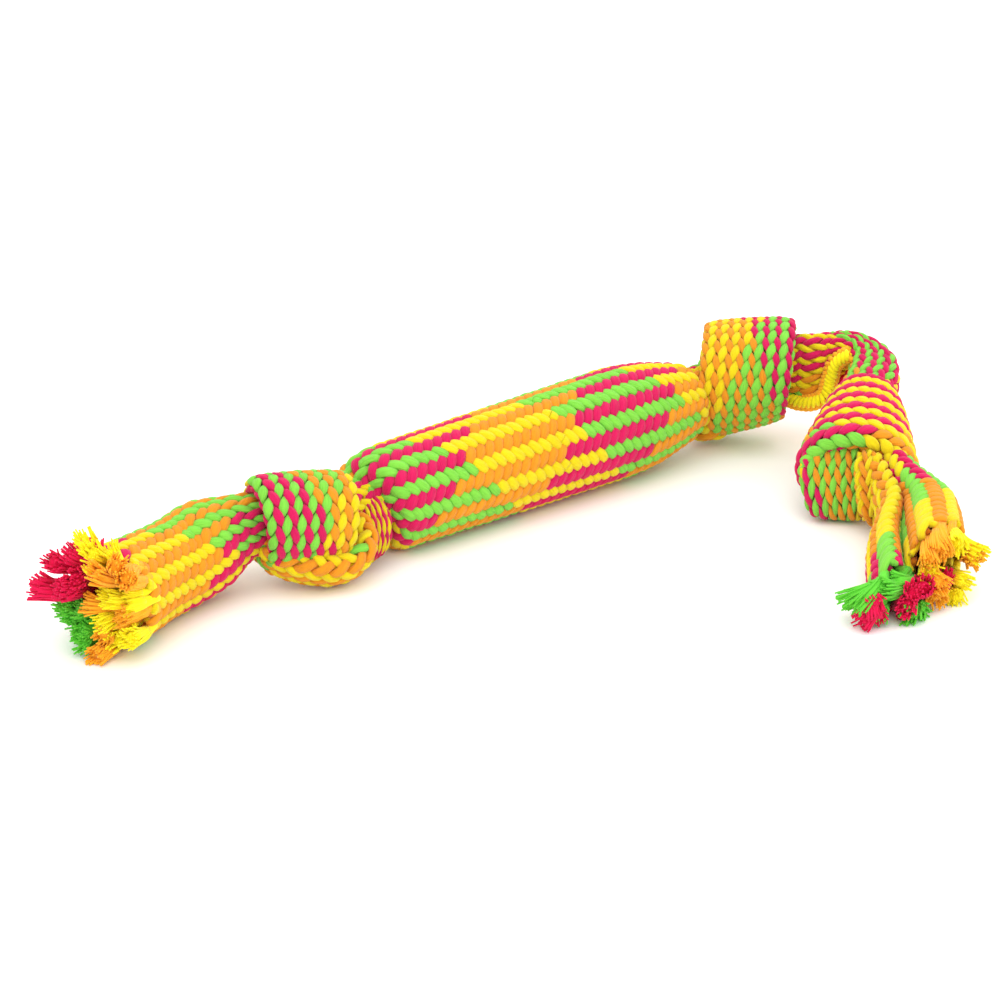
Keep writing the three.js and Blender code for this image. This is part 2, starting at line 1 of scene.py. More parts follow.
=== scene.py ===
"""Rope dog toy: a braided cotton sleeve, stuffed in the middle, knotted and frayed at its ends.

Lengths are in millimetres, and become metres where a mesh is placed or the ends of a bend are worked out.
"""
import json
import logging
import math
from dataclasses import dataclass, field
from enum import Enum
from typing import Callable, Optional

import bmesh
import bpy
import numpy as np
from mathutils import Matrix, Vector


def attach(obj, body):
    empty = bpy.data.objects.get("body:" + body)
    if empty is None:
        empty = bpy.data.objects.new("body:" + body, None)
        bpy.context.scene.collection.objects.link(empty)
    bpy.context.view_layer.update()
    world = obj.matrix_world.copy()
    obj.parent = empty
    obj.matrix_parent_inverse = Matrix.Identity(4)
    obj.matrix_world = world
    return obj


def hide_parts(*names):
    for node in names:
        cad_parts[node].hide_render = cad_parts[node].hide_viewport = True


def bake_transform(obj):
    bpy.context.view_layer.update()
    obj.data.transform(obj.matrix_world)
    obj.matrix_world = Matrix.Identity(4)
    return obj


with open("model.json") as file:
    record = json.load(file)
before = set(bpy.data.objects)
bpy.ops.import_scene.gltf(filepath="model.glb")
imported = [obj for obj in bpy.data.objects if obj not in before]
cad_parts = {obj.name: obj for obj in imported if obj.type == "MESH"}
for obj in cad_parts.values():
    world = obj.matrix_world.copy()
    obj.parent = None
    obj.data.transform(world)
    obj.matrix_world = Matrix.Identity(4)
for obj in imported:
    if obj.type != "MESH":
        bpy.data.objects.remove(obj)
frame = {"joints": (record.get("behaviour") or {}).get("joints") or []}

LOG = logging.getLogger("rope_toy")
MM = 0.001
FULL_TURN = 2.0 * math.pi
FLOOR_GAP = 0.2
RING_POINTS = 192
OUTLINE_POINTS = 256
UP = np.array([0.0, 0.0, 1.0])
STRAND_LAYERS = ("across", "along", "tone", "depth")
# Where the part's hinges are.
HINGES = {
    joint["name"]: tuple(round(value / MM, 3) for value in joint["pos_m"]) for joint in frame["joints"]
}

Array = np.ndarray
Triple = tuple[float, float, float]
Route = tuple[tuple[float, ...], ...]


class Yarn(Enum):
    """Colours of the dyed cotton strands, by their material slot."""

    GREEN = "green_yarn"
    YELLOW = "yellow_yarn"
    ORANGE = "orange_yarn"
    MAGENTA = "magenta_yarn"


GREEN, YELLOW, ORANGE, MAGENTA = Yarn
Finishes = dict[Yarn, bpy.types.Material]


class Family(Enum):
    """The two ways that strands run round the sleeve."""

    S = 1
    Z = -1


class Section(Enum):
    """Cross-sections of the sleeve, as closed outlines in shares of its half width and half height."""

    ROUND = "round"
    FLAT = "flat"
    CREASED = "creased"

    def outline(self) -> Array:
        """Closed outline, towards the right hand of the route, from its top or from the bottom of its crease.

        Returns:
            Rows of across and up.
        """
        angle = ring_angles(OUTLINE_POINTS)
        circle = np.stack([np.sin(angle), np.cos(angle)], axis=1)
        if self is Section.ROUND:
            return circle
        if self is Section.FLAT:
            return boxed(circle, 0.7)
        return closed_curve(np.array([
            (0.33, -0.6), (0.41, -0.1), (0.48, 0.45), (0.6, 0.85), (0.76, 0.95), (0.92, 0.65), (1.0, 0.1),
            (0.97, -0.45), (0.8, -0.85), (0.4, -1.0), (-0.1, -1.0), (-0.6, -0.97), (-0.9, -0.7),
            (-1.0, -0.15), (-0.95, 0.4), (-0.75, 0.85), (-0.4, 1.0), (-0.05, 0.85), (0.14, 0.4),
            (0.24, -0.15),
        ]), OUTLINE_POINTS)


def ring_angles(count: int) -> Array:
    """Angles spaced evenly round a full turn."""
    return np.linspace(0.0, FULL_TURN, count, endpoint=False)


def boxed(wave: Array, power: float = 0.85) -> Array:
    """Sines or cosines made fuller, which squares a round outline."""
    return np.sign(wave) * np.abs(wave) ** power


def unit(vectors: Array) -> Array:
    """Vectors along the last axis, at length one."""
    return vectors / np.maximum(np.linalg.norm(vectors, axis=-1, keepdims=True), 1e-9)


def running_total(steps: Array) -> Array:
    """Sum of the steps so far, from zero."""
    return np.concatenate([[0.0], np.cumsum(steps)])


def catmull(a: Array, b: Array, c: Array, d: Array, share: Array) -> Array:
    """Point between b and c on the smooth curve through a, b, c and d."""
    return 0.5 * (
        2 * b + (c - a) * share + (2 * a - 5 * b + 4 * c - d) * share ** 2
        + (3 * b - a - 3 * c + d) * share ** 3
    )


def closed_curve(points: Array, count: int) -> Array:
    """Smooth closed curve through points.

    Args:
        points: rows of coordinates.
        count: number of points on the result.

    Returns:
        Array of count rows.
    """
    total = len(points)
    place = np.linspace(0.0, total, count, endpoint=False)
    index = np.floor(place).astype(int)
    a, b, c, d = (points[(index + step) % total] for step in (-1, 0, 1, 2))
    return catmull(a, b, c, d, (place - index)[:, None])


def open_curve(points: Route, count: int) -> Array:
    """Smooth open curve through rows of numbers, even in the rows' own spacing.

    Args:
        points: rows of numbers.
        count: number of rows on the result.

    Returns:
        Array of count rows.
    """
    rows = np.array(points, float)
    padded = np.vstack([2 * rows[0] - rows[1], rows, 2 * rows[-1] - rows[-2]])
    place = np.linspace(0.0, len(rows) - 1, count)
    index = np.minimum(place.astype(int), len(rows) - 2)
    a, b, c, d = (padded[index + step] for step in range(4))
    return catmull(a, b, c, d, (place - index)[:, None])


def even_ring(ring: Array) -> Array:
    """Closed ring of points spaced evenly along its own length.

    Args:
        ring: points of the ring.

    Returns:
        The new points, from the same first one.
    """
    closed = np.vstack([ring, ring[:1]])
    walk = running_total(np.linalg.norm(np.diff(closed, axis=0), axis=1))
    places = np.linspace(0.0, walk[-1], RING_POINTS, endpoint=False)
    return np.stack([np.interp(places, walk, closed[:, axis]) for axis in range(3)], axis=1)


def outlined(centres: Array, right: Array, above: Array, sizes: Array, section: Section) -> Array:
    """Rings of one cross-section along a path.

    Args:
        centres: middle of each ring.
        right: unit vector along each ring's width.
        above: unit vector along each ring's height.
        sizes: half width and half height of each ring.
        section: the outline.

    Returns:
        The rings, with their points spaced evenly.
    """
    outline = section.outline()
    return np.array([
        even_ring(centre + outline[:, :1] * size[0] * side + outline[:, 1:] * size[1] * top)
        for centre, side, top, size in zip(centres, right, above, sizes)
    ])


def tube_round(centres: Array, radii: Array, sides: int) -> Array:
    """Round tubes along paths.

    Args:
        centres: paths, stations and three.
        radii: radius at each station.
        sides: points round a tube.

    Returns:
        Array of paths, stations, sides and three.
    """
    heading = unit(np.gradient(centres, axis=1))
    # The small tilt gives an upright path a way to the side as well.
    sideways = unit(np.cross(heading, UP + np.array([0.013, 0.007, 0.0])))
    upright = np.cross(sideways, heading)
    angle = ring_angles(sides)
    rim = sideways[:, :, None] * np.cos(angle)[:, None] + upright[:, :, None] * np.sin(angle)[:, None]
    return centres[:, :, None] + radii[:, :, None, None] * rim


def close_shell(shape: bmesh.types.BMesh, merge: float) -> None:
    """Joins the seams of rolled grids, fills their ends and turns the faces outwards.

    Args:
        shape: mesh under work.
        merge: distance in metres below which vertices are joined.
    """
    bmesh.ops.remove_doubles(shape, verts=shape.verts, dist=merge)
    rims = [edge for edge in shape.edges if edge.is_boundary]
    bmesh.ops.holes_fill(shape, edges=rims, sides=0)
    bmesh.ops.recalc_face_normals(shape, faces=shape.faces)


def placed_piece(shape: bmesh.types.BMesh, name: str, material: bpy.types.Material) -> bpy.types.Object:
    """Makes an object of a finished shape.

    Args:
        shape: the shape, which is freed.
        name: name of the object.
        material: its finish.

    Returns:
        The object, in the scene.
    """
    mesh = bpy.data.meshes.new(name)
    shape.to_mesh(mesh)
    shape.free()
    mesh.shade_smooth()
    mesh.materials.append(material)
    piece = bpy.data.objects.new(mesh.name, mesh)
    bpy.context.scene.collection.objects.link(piece)
    return piece


def plain_finish(name: str, values: dict[str, object]) -> bpy.types.Material:
    """New material with values set on its shader's own sockets.

    Args:
        name: name of the material.
        values: value of each socket, by the socket's name.

    Returns:
        The material.
    """
    material = bpy.data.materials.new(name)
    material.use_nodes = True
    for socket, value in values.items():
        material.node_tree.nodes["Principled BSDF"].inputs[socket].default_value = value
    return material


def shade_colour(material: bpy.types.Material, shade: Triple, colour: Triple,
                 mask: bpy.types.NodeSocket) -> None:
    """Lets a material's colour change over its surface.

    Args:
        material: the material.
        shade: colour where the mask is zero.
        colour: colour where the mask is one.
        mask: output that holds the mask.
    """
    nodes, links = material.node_tree.nodes, material.node_tree.links
    mix = nodes.new("ShaderNodeMix")
    mix.data_type = "RGBA"
    mix.inputs["A"].default_value = (*shade, 1.0)
    mix.inputs["B"].default_value = (*colour, 1.0)
    links.new(mask, mix.inputs["Factor"])
    links.new(mix.outputs["Result"], nodes["Principled BSDF"].inputs["Base Color"])


@dataclass(frozen=True)
class Lay:
    """How the strands of a stretch are laid.

    Colours change where the phases say, bow turns the lozenges along the sleeve, lens draws their tips in,
    run is the length of a strand from one lozenge to the next, and fuller widens the S strands at the cost
    of the Z ones.
    """

    s_phase: float = 0.0
    z_phase: float = 0.0
    columns: int = 24
    s_colours: tuple[Yarn, ...] = (GREEN, YELLOW)
    z_colours: tuple[Yarn, ...] = (MAGENTA, ORANGE)
    bow: float = 0.0
    lens: float = 0.0
    run: float = 7.13
    fuller: float = 0.0

    def colour(self, family: Family, strand: int) -> Yarn:
        """Colour of a strand.

        Args:
            family: which way the strand runs.
            strand: its number round the sleeve.

        Returns:
            The yarn.
        """
        phase, runs = (
            (self.s_phase, self.s_colours) if family is Family.S else (self.z_phase, self.z_colours)
        )
        place = (strand - phase) % self.columns
        return runs[int(place * len(runs) / self.columns)]


@dataclass(frozen=True)
class Fold:
    """The sleeve where it is pressed into a flat band.

    Points have x, y, z, half width and half thickness, and across is the way that the band's width lies.
    """

    points: Route
    across: Triple
    lay: Lay
    rows: int = 90

    def rings(self, wall: float) -> Array:
        """Rings along the band.

        Args:
            wall: depth of the wall's middle under its outside.

        Returns:
            The rings, in the axes of the points.
        """
        path = open_curve(self.points, self.rows)
        heading = unit(np.gradient(path[:, :3], axis=0))
        outward = unit(np.cross(heading, np.array(self.across)))
        return outlined(path[:, :3], np.cross(outward, heading), outward, path[:, 3:5] - wall, Section.FLAT)


@dataclass
class Strand:
    """Strands of one stretch and colour, as tubes, with what their finish reads."""

    tubes: Array
    along: Array
    depth: Array
    tones: Array


@dataclass
class YarnBasket:
    """Gathers the strands of a sub-assembly and rolls them into one mesh for each colour.

    Vertices closer than merge, in metres, are joined.
    """

    sides: int = 8
    merge: float = 1e-8
    strands: dict[Yarn, list[Strand]] = field(default_factory=dict)

    def add(self, yarn: Yarn, strand: Strand) -> None:
        """Keeps strands of one colour."""
        self.strands.setdefault(yarn, []).append(strand)

    def roll(self, name: str, finishes: Finishes) -> list[bpy.types.Object]:
        """Makes one object for each colour.

        Args:
            name: start of the objects' names.
            finishes: material of each yarn.

        Returns:
            The objects, in the shared frame.
        """
        made = []
        for yarn, strands in self.strands.items():
            shape = bmesh.new()
            layers = [shape.verts.layers.float.new(f"strand_{word}") for word in STRAND_LAYERS]
            for strand in strands:
                for number in range(len(strand.tubes)):
                    self._roll_one(shape, layers, strand, number)
            close_shell(shape, self.merge)
            piece = placed_piece(shape, f"{name}_{yarn.value}", finishes[yarn])
            made.append(piece)
        return made

    @staticmethod
    def _roll_one(shape: bmesh.types.BMesh, layers: list, strand: Strand, number: int) -> None:
        """Rolls a flat grid into one strand.

        Args:
            shape: mesh under work.
            layers: vertex layers for across, along, tone and depth.
            strand: tubes to take the strand from.
            number: which tube.
        """
        tube = strand.tubes[number]
        stations, sides = tube.shape[:2]
        grid = bmesh.ops.create_grid(shape, x_segments=sides, y_segments=stations - 1, size=0.5)
        rolled = np.concatenate([tube, tube[:, :1]], axis=1).reshape(-1, 3) * MM
        rolled[:, 2] = np.maximum(rolled[:, 2], FLOOR_GAP * MM)
        across = np.tile(np.cos(np.linspace(0.0, FULL_TURN, sides + 1)), stations)
        along = np.repeat(strand.along[number] * MM, sides + 1)
        depth = np.repeat(strand.depth[number], sides + 1)
        tone = float(strand.tones[number])
        across_layer, along_layer, tone_layer, depth_layer = layers
        for vert, place, side, run, deep in zip(
            grid["verts"], rolled.tolist(), across.tolist(), along.tolist(), depth.tolist()
        ):
            vert.co = place
            vert[across_layer] = side
            vert[along_layer] = run
            vert[tone_layer] = tone
            vert[depth_layer] = deep


@dataclass
class Sleeve:
    """A stretch of the braided sleeve: rings of points on the middle of its wall.

    A strand is half_share of its room to either side. Half its thickness follows from its area, between the
    thinnest and the thickest and up to plumpest of its half width, and its middle rises from the wall by
    crown of that. Where the sleeve is wide, lozenges are at least least_pitch of their run apart.
    """

    rings: Array
    strand_area: float = 2.75
    stations: int = 7
    half_share: float = 0.6
    thinnest: float = 1.05
    thickest: float = 1.4
    plumpest: float = 1.6
    crown: float = 0.95
    least_pitch: float = 0.66

    def __post_init__(self) -> None:
        """Turns the rings the right way round and measures them."""
        self._measure()
        outward = self.rings - self.rings.mean(axis=1, keepdims=True)
        if float(np.mean(np.sum(outward * self.normals, axis=-1))) < 0.0:
            self.rings = np.concatenate([self.rings[:, :1], self.rings[:, :0:-1]], axis=1)
            self._measure()

    def _measure(self) -> None:
        """Works out the normals, the girth and the distances along the stretch."""
        around = np.roll(self.rings, -1, axis=1) - np.roll(self.rings, 1, axis=1)
        onward = np.gradient(self.rings, axis=0)
        self.normals = unit(np.cross(around, onward))
        centres = self.rings.mean(axis=1)
        self.walk = running_total(np.linalg.norm(np.diff(centres, axis=0), axis=1))
        closed = np.concatenate([self.rings, self.rings[:, :1]], axis=1)
        self.girth = np.linalg.norm(np.diff(closed, axis=1), axis=2).sum(axis=1)

    def sample(self, place: Array, turn: Array) -> tuple[Array, Array]:
        """Points and normals on the wall.

        Args:
            place: ring numbers, with fractions.
            turn: shares of a full turn round the ring.

        Returns:
            Points and unit normals.
        """
        rows, count = self.rings.shape[:2]
        place = np.clip(place, 0.0, rows - 1.000001)
        row = place.astype(int)
        down = (place - row)[..., None]
        spot = (turn % 1.0) * count
        column = np.floor(spot).astype(int)
        over = (spot - column)[..., None]
        column = column % count
        after = (column + 1) % count
        results = []
        for table in (self.rings, self.normals):
            first = table[row, column] * (1 - over) + table[row, after] * over
            second = table[row + 1, column] * (1 - over) + table[row + 1, after] * over
            results.append(first * (1 - down) + second * down)
        return results[0], unit(results[1])

    def braid(self, basket: YarnBasket, lay: Lay, seed: int, walk: Optional[Array] = None) -> None:
        """Lays the strands of both families on the wall.

        Args:
            basket: where the strands go.
            lay: colours and count of the strands.
            seed: seed of the strands' small differences.
            walk: distance of each ring from where the lozenges are counted, if not that of its centre.
        """
        walk = self.walk if walk is None else walk
        spacing = self.girth / lay.columns
        pitch = np.sqrt(np.maximum(lay.run ** 2 - spacing ** 2, (self.least_pitch * lay.run) ** 2))
        count = running_total(np.diff(walk) / ((pitch[1:] + pitch[:-1]) / 2))
        count -= np.interp(0.0, walk, count)
        stations = max(6, int(round((count[-1] - count[0]) * self.stations)) + 1)
        q = np.linspace(count[0], count[-1], stations)
        place = np.interp(q, count, np.arange(len(walk)))
        room = np.interp(place, np.arange(len(walk)), pitch * spacing / np.hypot(pitch, spacing))
        rng = np.random.default_rng(seed)
        for family in Family:
            self._lay_family(basket, lay, family, q, place, room, rng)

    def _lay_family(self, basket: YarnBasket, lay: Lay, family: Family, q: Array, place: Array,
                    room: Array, rng: np.random.Generator) -> None:
        """Lays all strands that run one way.

        Args:
            basket: where the strands go.
            lay: colours and count of the strands.
            family: which way they run.
            q: lozenges counted at each station.
            place: ring number at each station.
            room: room across one strand at each station.
            rng: source of small differences.
        """
        numbers = np.arange(lay.columns)
        each = (lay.columns, 1)
        # One family passes over the wall where the other passes under it.
        if family is Family.S:
            run = q[None, :] - numbers[:, None]
        else:
            run = numbers[:, None] + 0.5 - q[None, :]
        height = family.value * np.cos(math.pi * run)
        wide = self.half_share * room * (1.0 + family.value * lay.fuller)
        pressed = 1.0 - 0.2 * lay.lens
        thick = np.clip(self.strand_area / wide, self.thinnest, self.thickest) * pressed
        thick = np.minimum(thick, self.plumpest * wide)
        wobble = rng.normal(0.0, 0.035, each) + 0.03 * np.sin(
            q[None, :] * rng.uniform(0.5, 1.1, each) + rng.uniform(0, 6.3, each)
        )
        bowed = run - family.value * lay.bow * np.sin(math.pi * run) / math.pi
        points, normals = self.sample(np.broadcast_to(place, run.shape), (bowed + wobble) / lay.columns)
        swell = rng.normal(1.0, 0.03, each)
        centres = points + normals * (self.crown * thick * boxed(height, 0.65) * swell)[..., None]
        heading = unit(np.gradient(centres, axis=1))
        sideways = unit(np.cross(heading, normals))
        upright = np.cross(sideways, heading)
        angle = ring_angles(basket.sides)
        tip = 1.0 - np.maximum(height, 0.0)
        belly = 1.07 + 0.2 * lay.lens
        pointed = 0.2 + 0.65 * lay.lens
        width = (wide * (belly - pointed * tip) * swell)[..., None, None]
        depth = (thick * swell)[..., None, None]
        tubes = (
            centres[:, :, None]
            + sideways[:, :, None] * width * boxed(np.cos(angle))[:, None]
            + upright[:, :, None] * depth * boxed(np.sin(angle))[:, None]
        )
        steps = np.linalg.norm(np.diff(centres, axis=1), axis=2)
        along = np.concatenate([np.zeros(each), np.cumsum(steps, axis=1)], axis=1)
        tones = rng.uniform(0.0, 1.0, lay.columns)
        for yarn in Yarn:
            chosen = [number for number in numbers if lay.colour(family, int(number)) is yarn]
            if chosen:
                basket.add(yarn, Strand(tubes[chosen], along[chosen], height[chosen], tones[chosen]))


@dataclass(frozen=True)
class YarnFinish:
    """Matte twisted cotton of one colour, braided or frayed; shade is its painted crease shade."""

    yarn: Yarn
    colour: Triple
    shade: Triple
    # Frayed copies have brighter colours: painted light in place of the light that passes through loose
    # fibres, and on the link's folds that lie in shade.
    frayed: bool = False

    def build(self, fibre: bpy.types.NodeTree) -> bpy.types.Material:
        """Makes the material.

        Args:
            fibre: shared node group of the yarn's fibres.

        Returns:
            The material.
        """
        material = plain_finish(self.yarn.value + ("_painted_light" if self.frayed else ""), {
            "Roughness": 0.88, "Specular IOR Level": 0.18, "Sheen Weight": 0.12, "Sheen Roughness": 0.5,
        })
        nodes, links = material.node_tree.nodes, material.node_tree.links
        group = nodes.new("ShaderNodeGroup")
        group.node_tree = fibre
        for word in STRAND_LAYERS:
            attribute = nodes.new("ShaderNodeAttribute")
            attribute.attribute_name = f"strand_{word}"
            links.new(attribute.outputs["Fac"], group.inputs[word.capitalize()])
        # Painted shade: the colour falls to shade where the strand dips under its neighbours.
        shade_colour(material, self.shade, self.colour, group.outputs["Light"])
        bump = nodes.new("ShaderNodeBump")
        bump.inputs["Strength"].default_value = 0.3 if self.frayed else 0.9
        bump.inputs["Distance"].default_value = 0.0006
        links.new(group.outputs["Height"], bump.inputs["Height"])
        links.new(bump.outputs["Normal"], nodes["Principled BSDF"].inputs["Normal"])
        return material


@dataclass(frozen=True)
class FibreGroup:
    """Node group of the yarn's plies, fibres and painted shade in its creases.

    Sizes along a strand are per metre, those across it per half width. The crease is painted shade where a
    strand dips under its neighbours, from its deepest place to where it is fully lit, and the strand's real
    tone and grain shift it too.
    """

    name: str = "yarn_fibre"
    fibre_along: float = 60.0
    fibre_twist: float = 130.0
    fibre_across: float = 3.6
    tones_apart: float = 40.0
    ply_along: float = 900.0
    ply_across: float = 7.0
    fibre_height: float = 0.7
    ply_height: float = 0.12
    crease_shade_from: float = -0.9
    crease_shade_to: float = 0.45
    lit: float = 0.86
    tone_light: float = 0.16
    grain_light: float = 1.1

    def build(self) -> bpy.types.NodeTree:
        """Makes the group.

        Returns:
            The group: height for the bump, and a mask from shade to light.
        """
        tree = bpy.data.node_groups.new(self.name, "ShaderNodeTree")
        for word in STRAND_LAYERS:
            tree.interface.new_socket(word.capitalize(), in_out="INPUT", socket_type="NodeSocketFloat")
        for word in ("Height", "Light"):
            tree.interface.new_socket(word, in_out="OUTPUT", socket_type="NodeSocketFloat")
        nodes, links = tree.nodes, tree.links
        source = nodes.new("NodeGroupInput")
        target = nodes.new("NodeGroupOutput")

        def math_node(operation: str, *values: object) -> bpy.types.NodeSocket:
            """Adds a math node.

            Args:
                operation: what it does.
                values: numbers or outputs of other nodes.

            Returns:
                Its output.
            """
            node = nodes.new("ShaderNodeMath")
            node.operation = operation
            for slot, value in zip(node.inputs, values):
                if isinstance(value, float):
                    slot.default_value = value
                else:
                    links.new(value, slot)
            return node.outputs[0]

        across, along, tone, deep = (source.outputs[word.capitalize()] for word in STRAND_LAYERS)
        combine = nodes.new("ShaderNodeCombineXYZ")
        slope = math_node("MULTIPLY", across, self.fibre_across)
        links.new(math_node("MULTIPLY_ADD", along, self.fibre_twist, slope), combine.inputs["X"])
        links.new(math_node("MULTIPLY", along, self.fibre_along), combine.inputs["Y"])
        links.new(math_node("MULTIPLY", tone, self.tones_apart), combine.inputs["Z"])
        noise = nodes.new("ShaderNodeTexNoise")
        noise.inputs["Scale"].default_value = 2.2
        noise.inputs["Detail"].default_value = 3.0
        noise.inputs["Roughness"].default_value = 0.6
        links.new(combine.outputs["Vector"], noise.inputs["Vector"])
        lead = math_node("MULTIPLY", along, self.ply_along)
        turn = math_node("MULTIPLY_ADD", across, self.ply_across, lead)
        plies = math_node("MULTIPLY", math_node("SINE", turn), self.ply_height)
        fibres = math_node("MULTIPLY", noise.outputs["Fac"], self.fibre_height)
        links.new(math_node("ADD", fibres, plies), target.inputs["Height"])
        # Painted shade: the mask falls from lit to shade where the strand dips under its neighbours.
        ramp = nodes.new("ShaderNodeMapRange")
        ramp.inputs["From Min"].default_value = self.crease_shade_from
        ramp.inputs["From Max"].default_value = self.crease_shade_to
        ramp.inputs["To Min"].default_value = 0.0
        ramp.inputs["To Max"].default_value = self.lit
        links.new(deep, ramp.inputs["Value"])
        spread = math_node("MULTIPLY_ADD", tone, self.tone_light, ramp.outputs["Result"])
        grain = math_node("MULTIPLY_ADD", noise.outputs["Fac"], self.grain_light, -self.grain_light / 2)
        light = math_node("ADD", spread, grain)
        light.node.use_clamp = True
        links.new(light, target.inputs["Light"])
        return tree


@dataclass(frozen=True)
class Lamp:
    """A soft square lamp that faces the toy: its place and side in metres, its power in watts."""

    name: str
    place: Triple
    size: float
    power: float

    def hang(self) -> None:
        """Puts the lamp into the scene."""
        light = bpy.data.lights.new(self.name, "AREA")
        light.shape = "SQUARE"
        light.size = self.size
        light.energy = self.power
        holder = bpy.data.objects.new(self.name, light)
        holder.location = self.place
        holder.rotation_euler = (-Vector(self.place)).to_track_quat("-Z", "Y").to_euler()
        bpy.context.scene.collection.objects.link(holder)


@dataclass
class Studio:
    """Camera, pale floor and soft lights, in metres."""

    place: Triple = (-0.61504, -0.74633, 0.42075)
    look: Triple = (0.57307, 0.71595, -0.39875)
    lens: float = 90.0
    sensor: float = 36.0
    floor_half: float = 6.0
    sky: float = 1.1
    lamps: tuple[Lamp, ...] = (
        Lamp("key_lamp", (-0.5, -0.5, 1.3), 1.4, 9.75),
        Lamp("far_lamp", (0.7, 0.9, 1.1), 1.4, 5.2),
        Lamp("side_lamp", (1.0, -0.8, 0.9), 1.2, 3.9),
    )

    def build(self) -> None:
        """Sets up the camera, the floor, the lights and the world."""
        camera = bpy.data.cameras.new("camera")
        camera.lens = self.lens
        camera.sensor_width = self.sensor
        camera.clip_end = 20.0
        holder = bpy.data.objects.new("camera", camera)
        holder.location = self.place
        holder.rotation_euler = Vector(self.look).to_track_quat("-Z", "Y").to_euler()
        bpy.context.scene.collection.objects.link(holder)
        bpy.context.scene.camera = holder
        self._floor()
        for lamp in self.lamps:
            lamp.hang()
        world = bpy.data.worlds.new("studio")
        world.use_nodes = True
        background = world.node_tree.nodes["Background"]
        background.inputs["Color"].default_value = (1.0, 1.0, 1.0, 1.0)
        background.inputs["Strength"].default_value = self.sky
        bpy.context.scene.world = world
        bpy.context.scene.view_settings.view_transform = "Standard"

    def _floor(self) -> None:
        """Makes the plain pale floor."""
        shape = bmesh.new()
        bmesh.ops.create_grid(shape, x_segments=8, y_segments=8, size=self.floor_half)
        paper = plain_finish("floor_paper", {
            "Base Color": (0.97, 0.97, 0.97, 1.0), "Roughness": 0.9, "Specular IOR Level": 0.1,
        })
        floor = placed_piece(shape, "floor", paper)


@dataclass(frozen=True)
class BodyStretch:
    """A straight stretch of the sleeve: the node it replaces, its reach, and the bodies at its ends and a
    bend, both not used.
    """

    name: str
    node: str
    bodies: tuple[str, str]
    lay: Lay
    reach: tuple[float, float]
    bend: tuple[float, float]
    rows: int = 40


